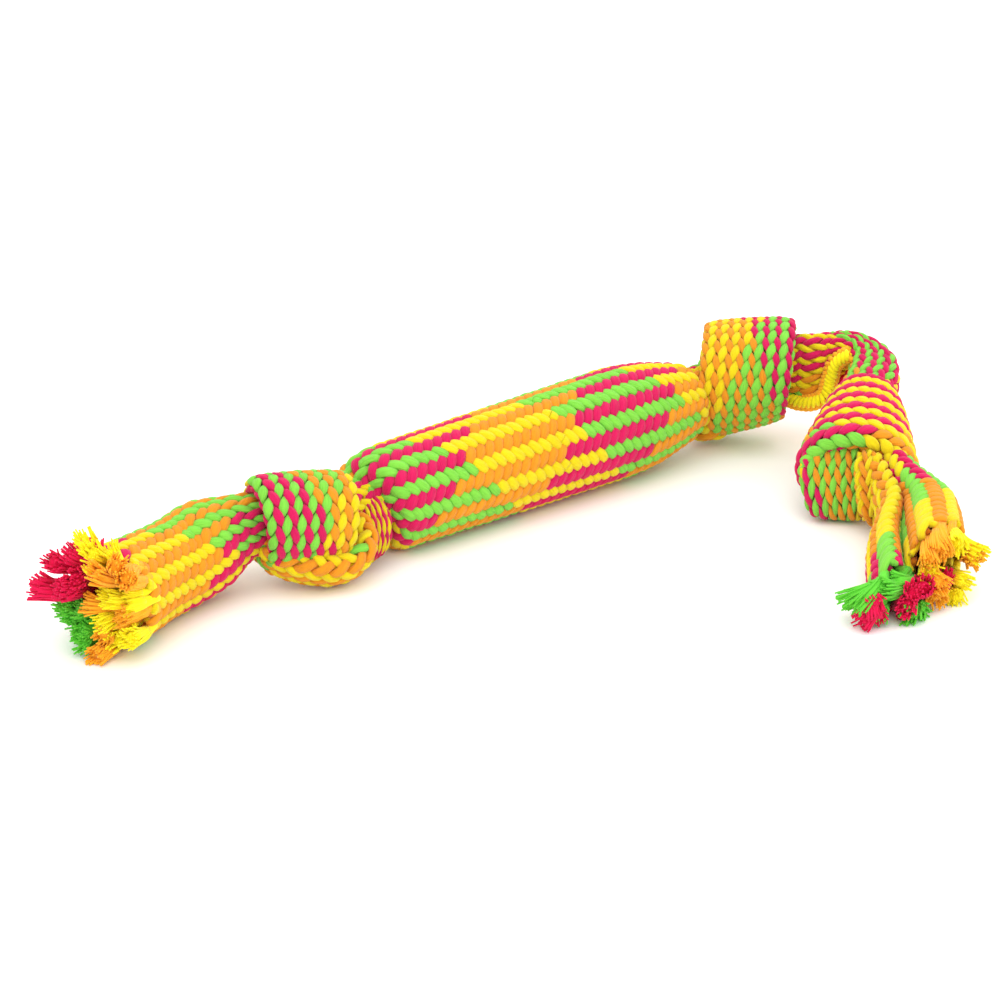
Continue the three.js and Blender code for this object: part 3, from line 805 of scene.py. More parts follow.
@dataclass
class StuffedBody:
    """The stuffed middle of the sleeve and the necks that leave it.

    Each lip is drawn in to its neck over draw_over. At the left end the side that left_facing gives, by its
    shares of near and up, is pulled to the right by left_draw, and the other side pushed to the left by
    left_push.
    """

    finishes: Finishes
    half: float = 85.0
    left_radius: float = 22.3
    right_radius: float = 24.4
    left_shoulder: float = 13.0
    right_shoulder: float = 45.0
    flat: float = 0.5
    wall: float = 2.6
    left_draw: float = 6.0
    left_push: float = 5.0
    left_facing: tuple[float, float] = (0.75, -0.66)
    left_lip: float = 15.0
    right_lip: float = 17.0
    left_neck: float = 12.4
    right_neck: float = 13.4
    left_round: float = 2.4
    right_round: float = 1.2
    draw_over: float = 5.0
    lay: Lay = Lay(s_phase=-1.0, z_phase=5.0)
    left_neck_lay: Lay = Lay(s_phase=3.0, z_phase=3.0)
    right_neck_lay: Lay = Lay(s_phase=2.0, z_phase=14.0)
    seed: int = 3

    def stretches(self) -> tuple[BodyStretch, ...]:
        """The two halves of the body and the two necks.

        Returns:
            The stretches, in the order they are made.
        """
        return (
            BodyStretch("body_left", "body_sleeve", ("body", "left_neck"), self.lay,
                        (-88.5, 0.0), (-74.0, -89.0), 220),
            BodyStretch("body_right", "body_sleeve", ("body", "right_neck"), self.lay,
                        (0.0, 91.5), (74.0, 89.0), 220),
            BodyStretch("left_neck", "left_neck", ("left_neck", "left_knot"), self.left_neck_lay,
                        (-106.0, -86.0), (-91.0, -101.0)),
            BodyStretch("right_neck", "right_neck", ("right_neck", "right_knot"), self.right_neck_lay,
                        (90.0, 106.0), (92.0, 102.0)),
        )

    def straight(self, x: float) -> float:
        """Radius of the straight flank, carried on to both ends."""
        start, end = -self.half + self.left_shoulder, self.half - self.right_shoulder
        return self.left_radius + (self.right_radius - self.left_radius) * (x - start) / (end - start)

    def radius(self, x: float) -> float:
        """Outside radius of the sleeve, drawn in to the necks at both ends.

        Args:
            x: place along the body.

        Returns:
            The radius.
        """
        start, end = -self.half + self.left_shoulder, self.half - self.right_shoulder
        if x < start:
            share = min(1.0, (start - x) / self.left_shoulder)
            lip = self.left_lip + (self.straight(x) - self.left_lip) * math.sqrt(1 - share ** self.left_round)
            return self.left_neck + (lip - self.left_neck) * self._draw_in(-self.half - x)
        if x > end:
            share = min(1.0, (x - end) / self.right_shoulder)
            lip = self.right_lip + (self.straight(x) - self.right_lip) * (1 - share ** 2) ** self.right_round
            return self.right_neck + (lip - self.right_neck) * self._draw_in(x - self.half)
        return self.straight(x)

    def _draw_in(self, beyond: float) -> float:
        """Share of the lip's size left at a distance beyond the body's end."""
        share = min(1.0, max(0.0, (beyond + self.draw_over / 2) / self.draw_over))
        return 1.0 - share * share * (3.0 - 2.0 * share)

    def rings(self, places: Array) -> Array:
        """Rings of the sleeve.

        Args:
            places: places along the body.

        Returns:
            One ring for each place.
        """
        angle = ring_angles(RING_POINTS)
        near, up = self.left_facing
        facing = near * np.sin(angle) + up * np.cos(angle)
        drawn = self.left_draw * np.maximum(0.0, facing) + self.left_push * np.minimum(0.0, facing)
        made = []
        for x in places:
            reach = self.radius(x) - self.wall
            height = self.straight(min(max(x, -self.half), self.half)) - self.flat
            sunk = min(1.0, max(0.0, (self.left_shoulder - self.half - x) / self.left_shoulder))
            ring = (x + sunk * drawn, -reach * np.sin(angle), height + reach * np.cos(angle))
            made.append(np.stack(ring, axis=1))
        return np.array(made)

    def walk(self, places: Array) -> Array:
        """Distances along the sleeve's wall from the body's middle.

        Args:
            places: places along the body.

        Returns:
            The distance of each place.
        """
        radii = np.array([self.radius(x) for x in places])
        distance = running_total(np.hypot(np.diff(places), np.diff(radii)))
        return distance - np.interp(0.0, places, distance)

    def build(self) -> list[bpy.types.Object]:
        """Braids the two halves of the body and the necks.

        Returns:
            The pieces.
        """
        made = []
        for stretch in self.stretches():
            places = np.linspace(*stretch.reach, stretch.rows)
            # Both halves count their lozenges from the body's middle, so that their strands meet there.
            walk = self.walk(places) if stretch.node == "body_sleeve" else places - places[0]
            basket = YarnBasket()
            Sleeve(self.rings(places)).braid(basket, stretch.lay, self.seed, walk)
            for piece in basket.roll(stretch.name, self.finishes):
                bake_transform(piece)
                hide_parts(stretch.node)
                made.append(piece)
        return made


@dataclass
class Filling:
    """Packed fibre filling inside the body, with crowned ends.

    The ends shrink to the root of blunt, the later the higher crown is. Vertices closer than merge, in
    metres, are joined.
    """

    body: StuffedBody
    first: float = -78.0
    last: float = 80.0
    gap: float = 6.4
    crown: int = 12
    blunt: float = 0.02
    sides: int = 32
    rows: int = 40
    merge: float = 1e-7

    def build(self) -> bpy.types.Object:
        """Rolls a grid into the closed filling.

        Returns:
            The piece.
        """
        shape = bmesh.new()
        grid = bmesh.ops.create_grid(shape, x_segments=self.sides, y_segments=self.rows - 1, size=0.5)
        places = np.linspace(self.first, self.last, self.rows)
        for number, vert in enumerate(grid["verts"]):
            row, side = divmod(number, self.sides + 1)
            x = float(places[row])
            angle = FULL_TURN * (side % self.sides) / self.sides
            share = abs(2 * x - self.first - self.last) / (self.last - self.first + 1)
            reach = (self.body.radius(x) - self.gap) * math.sqrt(max(self.blunt, 1 - share ** self.crown))
            height = self.body.straight(x) - self.body.flat
            vert.co = (x * MM, -reach * math.sin(angle) * MM, (height + reach * math.cos(angle)) * MM)
        close_shell(shape, self.merge)
        piece = placed_piece(shape, "body_filling", self._finish())
        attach(piece, "body")
        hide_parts("body_core")
        return piece

    @staticmethod
    def _finish() -> bpy.types.Material:
        """Matte packed fibre.

        Returns:
            The material.
        """
        material = plain_finish("filling", {"Roughness": 0.95})
        nodes, links = material.node_tree.nodes, material.node_tree.links
        noise = nodes.new("ShaderNodeTexNoise")
        noise.inputs["Scale"].default_value = 400.0
        place = nodes.new("ShaderNodeTexCoord")
        links.new(place.outputs["Object"], noise.inputs["Vector"])
        shade_colour(material, (0.22, 0.1, 0.02), (0.4, 0.2, 0.05), noise.outputs["Fac"])
        return material


@dataclass
class OverhandKnot:
    """The flattened sleeve wound into a slanted wrap, with a lobe that crosses under it.

    The lobe is in the knot's own axes, the collar in the shared frame. The band moves on by lead while it
    is wound. Slant shifts the wrap's top along its axis, pinch narrows its underside and taper raises the
    underside towards the far end. The core is the sleeve where it runs through the wrap: it overlaps the
    band, and its ends shrink to the root of core_blunt.
    """

    name: str
    finishes: Finishes
    centre: Triple
    yaw: float
    pitch: float
    radius: float
    start_angle: float
    wrap_lay: Lay
    lobe: Fold
    collar: Optional[Fold] = None
    slant: float = 0.0
    pinch: float = 0.0
    taper: float = 0.0
    width: float = 42.0
    lead: float = 3.0
    turns: float = 1.12
    thickness: float = 10.0
    wall: float = 2.5
    core_lay: Lay = Lay(columns=16)
    core_inset: float = 4.0
    core_overlap: float = 0.5
    core_crown: int = 6
    core_blunt: float = 0.05
    seed: int = 11

    def axes(self) -> Array:
        """Rows of the knot's own axes: along the wrap, across it and up."""
        yaw = Matrix.Rotation(math.radians(self.yaw), 3, "Z")
        turn = yaw @ Matrix.Rotation(math.radians(-self.pitch), 3, "Y")
        return np.array([list(turn.col[axis]) for axis in range(3)])

    def place(self, local: Array) -> Array:
        """Points from the knot's own axes to the shared frame."""
        return local @ self.axes() + np.array(self.centre)

    def wrap_rings(self, rows: int = 200) -> Array:
        """Rings of the wound band.

        Args:
            rows: number of rings.

        Returns:
            The rings.
        """
        outline = Section.FLAT.outline()
        half = self.thickness / 2
        made = []
        for share in np.linspace(0.0, 1.0, rows):
            angle = math.radians(self.start_angle) + FULL_TURN * self.turns * share
            outward = np.array([0.0, math.cos(angle), math.sin(angle)])
            centre = outward * (self.radius - half - half * (1 - share))
            centre[0] = self.lead * (share - 0.5) + self.slant * centre[2]
            breadth = self.width * (1.0 - self.pinch * (1.0 - math.sin(angle)) / 2)
            ring = (
                centre
                + outline[:, 1:] * (half - self.wall) * outward
                + outline[:, :1] * (breadth / 2 - self.wall) * np.array([1.0, 0.0, 0.0])
            )
            made.append(even_ring(self.place(self._tapered(ring))))
        return np.array(made)

    def _tapered(self, ring: Array) -> Array:
        """Ring in the knot's own axes, its underside raised towards the far end."""
        rise = np.clip(ring[:, 0] / self.width + 0.25, -0.25, 0.75)
        return ring - (self.taper * rise * np.minimum(ring[:, 2], 0.0))[:, None] * UP

    def core_rings(self, rows: int = 70) -> Array:
        """Rings of the sleeve where it runs through the wrap, gathered at both ends.

        Args:
            rows: number of rings.

        Returns:
            The rings.
        """
        angle = ring_angles(RING_POINTS)
        half = self.width / 2 * (1.0 - self.pinch) - self.core_inset
        widest = self.radius - self.thickness + self.core_overlap
        made = []
        for share in np.linspace(-1.0, 1.0, rows):
            reach = widest * math.sqrt(max(self.core_blunt, 1.0 - share ** self.core_crown))
            up = reach * np.cos(angle)
            ring = np.stack([share * half + self.slant * up, -reach * np.sin(angle), up], axis=1)
            made.append(self.place(self._tapered(ring)))
        return np.array(made)

    def build(self) -> list[bpy.types.Object]:
        """Braids the wrap, its core, the lobe and the collar.

        Returns:
            The pieces.
        """
        basket = YarnBasket()
        rings = self.wrap_rings()
        walk = np.linspace(0.0, FULL_TURN * self.turns * (self.radius - self.wall), len(rings))
        Sleeve(rings).braid(basket, self.wrap_lay, self.seed, walk)
        Sleeve(self.core_rings()).braid(basket, self.core_lay, self.seed + 2)
        Sleeve(self.place(self.lobe.rings(self.wall))).braid(basket, self.lobe.lay, self.seed + 6)
        if self.collar:
            Sleeve(self.collar.rings(self.wall)).braid(basket, self.collar.lay, self.seed + 8)
        made = basket.roll(self.name, self.finishes)
        for piece in made:
            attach(piece, self.name)
            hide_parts(self.name)
        return made


@dataclass
class RouteStretch:
    """A loose stretch of the sleeve along a route: the link or a tail.

    Route points have x, y and z from the stretch's hinge, half width and half height. Plumb keeps the
    outline upright where the route climbs, twist turns the strands by some columns over twist_span, skew
    slants the far end and droop lowers its right-hand side. Folds are in the shared frame. Bend gives two
    distances from the hinge, which the build turns into two points that nothing uses.
    """

    name: str
    parent: str
    finishes: Finishes
    route: Route
    section: Section
    lay: Lay
    plumb: bool = False
    twist: int = 0
    twist_span: tuple[float, float] = (0.3, 0.6)
    skew: float = 0.0
    droop: float = 0.0
    folds: tuple[Fold, ...] = ()
    # Finishes of the folds: brighter copies that paint light on folds lying in shade.
    painted_light_finishes: Finishes = field(default_factory=dict)
    bend: tuple[float, float] = (-4.0, 11.0)
    wall: float = 2.6
    rows: int = 120
    seed: int = 23

    def origin(self) -> Array:
        """Place of the hinge that the stretch swings on."""
        return np.array(HINGES[f"{self.name}_swing"])

    def rings(self) -> Array:
        """Rings of the stretch in the shared frame.

        Returns:
            The rings.
        """
        path = open_curve(self.route, self.rows)
        centres = path[:, :3] + self.origin()
        heading = unit(np.gradient(centres, axis=0))
        right = unit(np.cross(heading, UP))
        above = np.tile(UP, (self.rows, 1)) if self.plumb else np.cross(right, heading)
        rings = outlined(centres, right, above, path[:, 3:5] - self.wall, self.section)
        centres = rings.mean(axis=1)
        heading = unit(np.gradient(centres, axis=0))[:, None]
        right = unit(np.cross(heading, UP))
        offset = np.sum((rings - centres[:, None]) * right, axis=2, keepdims=True)
        share = np.linspace(0.0, 1.0, self.rows)[:, None, None]
        made = rings + heading * offset * self.skew * share ** 1.5
        sag = self.droop * share ** 2 * np.maximum(0.0, offset) / np.maximum(1.0, offset.max())
        made[..., 2:] *= 1.0 - sag
        column = RING_POINTS / self.lay.columns
        turned = np.interp(share[:, 0, 0], self.twist_span, (0.0, 1.0)) * self.twist * column
        return np.array([np.roll(ring, int(round(step)), axis=0) for ring, step in zip(made, turned)])

    def build(self) -> list[bpy.types.Object]:
        """Braids the stretch and its folds.

        Returns:
            The pieces.
        """
        # The folds go in a basket of their own, to take the brighter finishes of painted light.
        basket, painted_light_folds = YarnBasket(), YarnBasket()
        Sleeve(self.rings()).braid(basket, self.lay, self.seed)
        for number, fold in enumerate(self.folds):
            Sleeve(fold.rings(self.wall)).braid(painted_light_folds, fold.lay, self.seed + number + 1)
        made = basket.roll(self.name, self.finishes)
        made += painted_light_folds.roll(f"{self.name}_fold", self.painted_light_finishes)
        onward = unit(np.array(self.route[2][:3], float) - np.array(self.route[0][:3], float))
        start, end = (tuple((self.origin() + onward * reach) * MM) for reach in self.bend)
        for piece in made:
            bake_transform(piece)
            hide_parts(self.name)
        return made


@dataclass
class BellKnot:
    """The end knot: the sleeve wound over a bell, its rim rolled, a band that crosses its face and a cheek.

    Far and near are the bell's half width and half height at the link and at the tail, and flare below one
    makes it open early. The rim starts at a share of the length.
    """

    finishes: Finishes
    origin: Triple = HINGES["end_knot_swing"]
    yaw: float = -140.0
    length: float = 54.0
    far: tuple[float, float] = (14.0, 13.0)
    near: tuple[float, float] = (27.0, 21.0)
    flare: float = 0.8
    drop: float = -14.111
    wound: tuple[float, float] = (-75.0, 255.0)
    mean_radius: float = 18.0
    thickness: float = 8.0
    rim_from: float = 0.6
    rim_roll: float = 6.5
    rim_bulge: float = 1.2
    wall: float = 2.5
    wrap_lay: Lay = Lay(16.0, 4.0, 24, (GREEN, YELLOW, YELLOW), (MAGENTA, MAGENTA, ORANGE), 0.3, 0.6)
    face_lay: Lay = Lay(22.0, 7.0, bow=0.4, lens=1.0)
    cheek: Fold = Fold(
        ((93, -103.5, 30, 5, 4.5), (89, -106.5, 26, 5.5, 5), (86.5, -110, 20, 5.5, 5),
         (85.5, -113, 12, 5.5, 5), (90, -112.5, 6, 5, 4.5)),
        (0.77, -0.64, 0.0), Lay(0.0, 0.0, 10, (YELLOW,), (ORANGE,), run=5.6),
    )
    seed: int = 31

    def heading(self) -> Array:
        """Way from the link to the tail."""
        return np.array([math.cos(math.radians(self.yaw)), math.sin(math.radians(self.yaw)), 0.0])

    def profile(self, share: float) -> tuple[Array, float, float]:
        """Size of the bell at a share of its length.

        Args:
            share: share of the length, from the link.

        Returns:
            Centre, half width and half height.
        """
        centre = np.array(self.origin) + self.heading() * self.length * share + UP * self.drop * share
        open_by = max(0.0, share) ** self.flare
        half_width, half_height = (far + (near - far) * open_by for far, near in zip(self.far, self.near))
        return centre, half_width, half_height

    def wrap_rings(self, rows: int = 160) -> Array:
        """Rings of the band that is wound over the bell, from the near side over the top.

        Args:
            rows: number of rings.

        Returns:
            The rings.
        """
        side = np.cross(UP, self.heading())
        outline = Section.FLAT.outline()
        made = []
        for turn in np.radians(np.linspace(*self.wound, rows)):
            ring = []
            for forward, deep in outline:
                share = 0.5 + 0.5 * forward
                centre, half_width, half_height = self.profile(share)
                rim = max(0.0, (share - self.rim_from) / (1.0 - self.rim_from)) ** 2
                layer = self.thickness + self.rim_roll * rim - 2 * self.wall
                inset = self.wall + (0.5 - 0.5 * deep) * layer - self.rim_bulge * rim
                outward = side * math.cos(turn) * (half_width - inset)
                ring.append(centre + outward + UP * math.sin(turn) * (half_height - inset))
            made.append(even_ring(np.array(ring)))
        return np.array(made)

    def face(self) -> Fold:
        """The band that comes out under the rim and runs down the face.

        Returns:
            The band, in the shared frame.
        """
        side = np.cross(UP, self.heading())
        base = self.profile(1.0)[0]
        points = []
        for forward, left, up, half in (
            (-17, 10, 0.55, 12), (-6, 10, 0.42, 13.5), (1, 9.5, 0.05, 14), (4.5, 8, -0.35, 13.5),
            (3, 6, -0.66, 12.5), (-8, 4, -0.74, 10),
        ):
            centre = base + self.heading() * forward - side * left + UP * up * self.near[1]
            points.append((*centre, half, 5.5))
        return Fold(tuple(points), tuple(side), self.face_lay)

    def build(self) -> list[bpy.types.Object]:
        """Braids the bell, the face band and the cheek.

        Returns:
            The pieces.
        """
        basket = YarnBasket()
        rings = self.wrap_rings()
        start, end = self.wound
        walk = np.linspace(0.0, math.radians(end - start) * self.mean_radius, len(rings))
        Sleeve(rings).braid(basket, self.wrap_lay, self.seed, walk)
        for step, fold in ((6, self.face()), (8, self.cheek)):
            Sleeve(fold.rings(self.wall)).braid(basket, fold.lay, self.seed + step)
        made = basket.roll("end_knot", self.finishes)
        for piece in made:
            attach(piece, "end_knot")
            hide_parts("end_knot")
        return made


@dataclass(frozen=True)
class Tuft:
    """Frayed ends of a few neighbouring strands: how far they lean out and up, and how long they are."""

    yarn: Yarn
    lean: float
    lift: float
    reach: float


@dataclass
class Tassel:
    """Frayed strand ends round the mouth of a tail, in tufts of one colour.

    Tufts go round from the first angle and leave a gap centred on it, both in degrees. Some strands start
    inside the mouth, down to the inner share of its size. Each starts as a stub, sunk into the tail, and
    bloom opens it from a share of its length on. Its threads start at a share of the length too, and some
    of them lie on its outside. Core_lit and threads_lit are the depths that the finish reads.
    """

    side: str
    # Brighter frayed finishes: painted light in place of the light that passes through the loose fibres.
    finishes: Finishes
    mouth: Array
    heading: Array
    tufts: tuple[Tuft, ...]
    first: float
    gap: float = 0.0
    strands_each: int = 4
    threads_each: int = 44
    bloom: float = 2.0
    inner: float = 0.45
    sunk: float = 4.0
    stub: float = 1.9
    opens_from: float = 0.2
    lowest: float = 2.6
    core_sides: int = 10
    # Core_lit and threads_lit set how much painted crease shade the tufts take.
    core_lit: float = 0.4
    thread: float = 0.4
    threads_from: float = 0.4
    outer_threads: float = 0.45
    waviness: float = 0.35
    thread_sides: int = 7
    threads_lit: float = 0.55
    seed: int = 5

    def build(self) -> list[bpy.types.Object]:
        """Makes one piece for each tuft.

        Returns:
            The pieces.
        """
        rng = np.random.default_rng(self.seed)
        middle = self.mouth.mean(axis=0)
        made = []
        counts: dict[Yarn, int] = {}
        for number, tuft in enumerate(self.tufts):
            basket = YarnBasket()
            drift = rng.normal(0.0, 0.12, 3) + UP * tuft.lift
            for strand in range(self.strands_each):
                share = (number + (strand + 0.5) / self.strands_each) / len(self.tufts)
                rim, outward = self._root(math.radians(self.first + self.gap / 2 + (360 - self.gap) * share))
                lean = outward * tuft.lean * rng.uniform(0.4, 1.4) + drift + rng.normal(0.0, 0.13, 3)
                root = middle + (rim - middle) * rng.choice([1.0, 0.8, self.inner])
                for bundle in self._fray(rng, root, lean, tuft.reach * rng.uniform(0.85, 1.12)):
                    basket.add(tuft.yarn, bundle)
            counts[tuft.yarn] = counts.get(tuft.yarn, 0) + 1
            node = f"{self.side}_tuft_{tuft.yarn.name.lower()}_{counts[tuft.yarn]}"
            for piece in basket.roll(node, self.finishes):
                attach(piece, f"{self.side}_tail")
                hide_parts(node)
                made.append(piece)
        return made

    def _root(self, angle: float) -> tuple[Array, Array]:
        """Place on the mouth where a strand leaves the braid, and the way out from there.

        Args:
            angle: direction from the middle of the mouth, from its right-hand side over the top.

        Returns:
            The place and the unit vector outwards.
        """
        across = unit(np.cross(UP, self.heading))
        outward = across * math.cos(angle) + UP * math.sin(angle)
        arms = self.mouth - self.mouth.mean(axis=0)
        arms = arms - np.outer(arms @ self.heading, self.heading)
        # The place that is furthest out in that direction and not far to either side of it.
        astray = np.linalg.norm(arms - (arms @ outward)[:, None] * outward, axis=1)
        return self.mouth[int(np.argmax(arms @ outward - 1.5 * astray))], outward

    def _fray(self, rng: np.random.Generator, root: Array, lean: Array, reach: float) -> tuple[Strand, ...]:
        """One strand's end: a soft stub that opens into cut threads.

        Args:
            rng: source of differences.
            root: where the strand leaves the braid.
            lean: how the end leans away from the tail's heading.
            reach: length of the frayed end.

        Returns:
            The brush-like end and its threads.
        """
        bow = rng.normal(0.0, 0.09, 3)

        def spine(share: Array) -> Array:
            """Middle of the strand's end.

            Args:
                share: shares of its length.

            Returns:
                One point for each share.
            """
            share = np.asarray(share)[..., None]
            straight = root - self.heading * self.sunk + self.heading * (reach + self.sunk) * share
            path = straight + lean * reach * share ** 1.8 + bow * reach * np.sin(math.pi * share)
            path[..., 2] = np.maximum(path[..., 2], self.lowest)
            return path

        rows = np.linspace(0.0, 1.0, 10)
        flare = rng.uniform(0.85, 1.15)
        girth = self._brush(rows, flare) * np.array([1.0] * 8 + [0.93, 0.6])
        core = tube_round(spine(0.97 * rows)[None], girth[None], self.core_sides)
        return (
            Strand(core, (reach * rows)[None], np.full((1, len(rows)), self.core_lit), rng.uniform(0, 1, 1)),
            self._threads(rng, spine, flare),
        )

    def _brush(self, share: Array, flare: float) -> Array:
        """Half the thickness of a strand's end, which opens like a brush."""
        return self.stub + self.bloom * flare * np.maximum(share - self.opens_from, 0.0) ** 1.3

    def _threads(self, rng: np.random.Generator, spine: Callable[[Array], Array], flare: float) -> Strand:
        """Cut threads on the outside and at the tip of a strand's end.

        Args:
            rng: source of differences.
            spine: middle of the strand's end at shares of its length.
            flare: how far the end opens.

        Returns:
            The threads.
        """
        count, rows = self.threads_each, 5
        each = (count, 1)
        ripe = np.linspace(0.0, 1.0, rows)[None, :]
        places = self.threads_from + (rng.uniform(1.0, 1.14, each) - self.threads_from) * ripe
        centres = spine(places)
        heading = unit(np.gradient(centres, axis=1))
        side = unit(np.cross(heading, UP + 0.01))
        upright = np.cross(side, heading)
        outer = rng.uniform(0.0, 1.0, each) < self.outer_threads
        ring = np.where(outer, rng.uniform(0.95, 1.04, each), np.sqrt(rng.uniform(0.0, 0.95, each)))
        angle = rng.uniform(0, FULL_TURN, each) + 0.5 * ripe
        apart = ring * (self._brush(places, flare) + rng.exponential(0.35, each) * ripe ** 3)
        centres = centres + (apart * np.cos(angle))[..., None] * side
        centres = centres + (apart * np.sin(angle))[..., None] * upright
        wave = np.sin(ripe[..., None] * rng.uniform(3, 6, (count, 1, 1)) + rng.uniform(0, 6.3, (count, 1, 3)))
        centres = centres + self.waviness * wave * ripe[..., None] ** 2
        centres[..., 2] = np.maximum(centres[..., 2], self.thread + FLOOR_GAP)
        radii = np.full((count, rows), self.thread) * (1.0 - 0.15 * ripe)
        tubes = tube_round(centres, radii, self.thread_sides)
        run = np.linalg.norm(centres - centres[:, :1], axis=2)
        return Strand(tubes, run, np.full((count, rows), self.threads_lit), rng.uniform(0, 1, count))


@dataclass
class RopeToy:
    """The whole toy: one sleeve, from the left tassel to the right one."""

    finishes: Finishes
    # Brighter copies of the finishes: painted light for the tufts and the link's folds.
    frayed: Finishes

    def left_knot(self) -> OverhandKnot:
        """The knot on the body's left, with the gathered collar of its neck.

        Returns:
            The knot.
        """
        lobe = Fold(
            ((-16, 2, -10, 8.5, 4.5), (-10, -6, -15, 9.5, 5), (0, -11, -17, 10, 5.5), (11, -13, -18, 10, 5.5),
             (20, -11, -15.5, 10, 5.5), (25, -4, -11, 9.5, 5), (24, 5, -6.5, 9, 4.5), (18, 11, -1, 8, 4)),
            (0.0, 0.77, -0.64), Lay(6.0, 0.0, 10, (YELLOW,) * 9 + (GREEN,), (ORANGE,), -0.1),
        )
        collar = Fold(
            ((-91, 6, 25, 6, 4.5), (-90.5, -4, 26, 7, 5), (-91, -11.5, 22, 7.5, 5), (-92.5, -15, 16, 7.5, 5),
             (-94.5, -14.5, 9.5, 7.5, 5), (-96.5, -8, 5.5, 7, 5), (-97, 2, 6, 6, 4.5)),
            (1.0, 0.0, 0.35), Lay(0.0, 0.0, 24, (YELLOW,), (MAGENTA,), 0.5, 0.5, 6.0),
        )
        return OverhandKnot(
            "left_knot", self.finishes, centre=(-120.5, -4.2, 27.4), yaw=-18.0, pitch=-5.0, radius=21.5,
            start_angle=-100.0, wrap_lay=Lay(1.0, 9.0, 26, bow=0.45, lens=1.0, run=8.5),
            lobe=lobe, collar=collar, pinch=0.2,
        )

    def right_knot(self) -> OverhandKnot:
        """The knot on the body's right.

        Returns:
            The knot.
        """
        lobe = Fold(
            ((-19, 2, -12, 10, 5.5), (-22.5, -4, -18, 11, 5.5), (-19, -5, -21.5, 12, 5.5),
             (-10, -1, -20.5, 12, 5.5), (0, 3, -15, 12, 5.5)),
            (0.0, 1.0, 0.0), Lay(columns=12, s_colours=(YELLOW,), z_colours=(ORANGE,)),
        )
        return OverhandKnot(
            "right_knot", self.finishes, centre=(115.3, -6.3, 31.9), yaw=-46.0, pitch=6.0, radius=28.0,
            start_angle=-110.0, wrap_lay=Lay(14.0, 27.0, 30, bow=0.45, lens=1.0, run=8.3, fuller=0.13),
            lobe=lobe, slant=0.19, taper=0.36,
        )

    def left_tail(self) -> RouteStretch:
        """The open tail on the left.

        Returns:
            The tail.
        """
        return RouteStretch(
            "left_tail", "left_knot", self.finishes,
            ((8, -1, 0, 11.5, 11.5), (0, 0, 0, 12.5, 12.5), (-9, 2, -1.5, 14.8, 14.8),
             (-20, 3, -4.5, 18.3, 18.3), (-34, 1.5, -7.67, 18.3, 18.3), (-50.5, -3.5, -7.4, 18.5, 18.5),
             (-71.5, -13, -6.0, 20, 20)),
            Section.ROUND, Lay(22.0, 12.0, bow=0.15),
        )

    def link(self) -> RouteStretch:
        """The folded stretch between the right knot and the end knot.

        Returns:
            The link.
        """
        inner = Fold(
            ((129, -15, 25, 4.5, 4), (138, -24, 21.5, 5.5, 4.5), (149, -28.5, 26.5, 6.5, 4.5),
             (154, -35, 34, 6, 4.5), (151, -41, 42, 5, 4)),
            (0.249, 0.311, 0.917), Lay(0.0, 0.0, 12, (ORANGE,), (ORANGE, MAGENTA), run=5.0),
        )
        lip = Fold(
            ((127.5, -14, 22, 4.5, 4.2), (131, -28, 21, 4.5, 4.2), (135, -36, 25, 4.5, 4.2),
             (137.5, -37, 33, 4.5, 4.2), (138.5, -39, 41, 4.5, 4.2), (142, -44, 46, 4.5, 4.2)),
            (0.573, 0.716, -0.399), Lay(0.0, 0.0, 4, (ORANGE,), (YELLOW,), lens=0.5, run=3.0),
        )
        return RouteStretch(
            "link", "right_knot", self.finishes,
            ((-7, 5, 0, 8, 12), (0.6, -1.7, 2.8, 8, 15), (4.5, -7, 2.9, 7.5, 16), (9.5, -10.8, 6.7, 7, 12.5),
             (13, -15, 11.4, 7.5, 9), (17.3, -21.5, 11.4, 9, 8.5), (17.3, -30, 7.4, 10.5, 10),
             (9.8, -38.5, 4.2, 11.5, 11.5), (-1, -45, 2, 11.5, 11.5), (-7, -50, 1, 9, 9)),
            Section.FLAT, Lay(5.0, 21.0, bow=0.2), plumb=True, twist=-3, folds=(inner, lip),
            # Painted light: the folds take the brighter frayed copies, which lighten them where they lie in
            # shade.
            painted_light_finishes=self.frayed,
        )

    def right_tail(self) -> RouteStretch:
        """The creased tail on the right.

        Returns:
            The tail.
        """
        return RouteStretch(
            "right_tail", "end_knot", self.finishes,
            ((5, 8, 1, 11, 11), (0, 0, 0, 11, 11), (-6.5, -13.2, -2, 11.5, 11.5), (-14.6, -28.7, -5, 15, 14),
             (-28, -43.3, -7, 19.5, 16.5), (-46.6, -62.9, -7, 20, 16.5)),
            Section.CREASED,
            Lay(9.0, 18.0, 24, (GREEN,) * 7 + (YELLOW,) * 17, (MAGENTA, ORANGE, ORANGE)),
            skew=1.05, droop=0.5,
        )

    def left_tassel(self) -> Tassel:
        """The frayed ends of the left tail.

        Returns:
            The tassel.
        """
        return Tassel(
            "left", self.frayed, self.left_tail().rings()[-1], unit(np.array([-14.0, -4.0, 0.0])),
            (Tuft(ORANGE, 0.3, 0.4, 13), Tuft(YELLOW, 0.45, 0.6, 10), Tuft(MAGENTA, 0.15, 0.5, 12),
             Tuft(MAGENTA, 0.1, 0.5, 13), Tuft(MAGENTA, 0.1, 0.35, 12), Tuft(GREEN, -0.1, 0.25, 9),
             Tuft(GREEN, -0.1, 0.15, 9), Tuft(GREEN, -0.1, 0.1, 9), Tuft(ORANGE, 0.2, -0.05, 14),
             Tuft(YELLOW, 0.15, 0.2, 11), Tuft(ORANGE, -0.5, 0.0, 11), Tuft(YELLOW, -0.4, 0.1, 11)),
            first=35.0,
        )

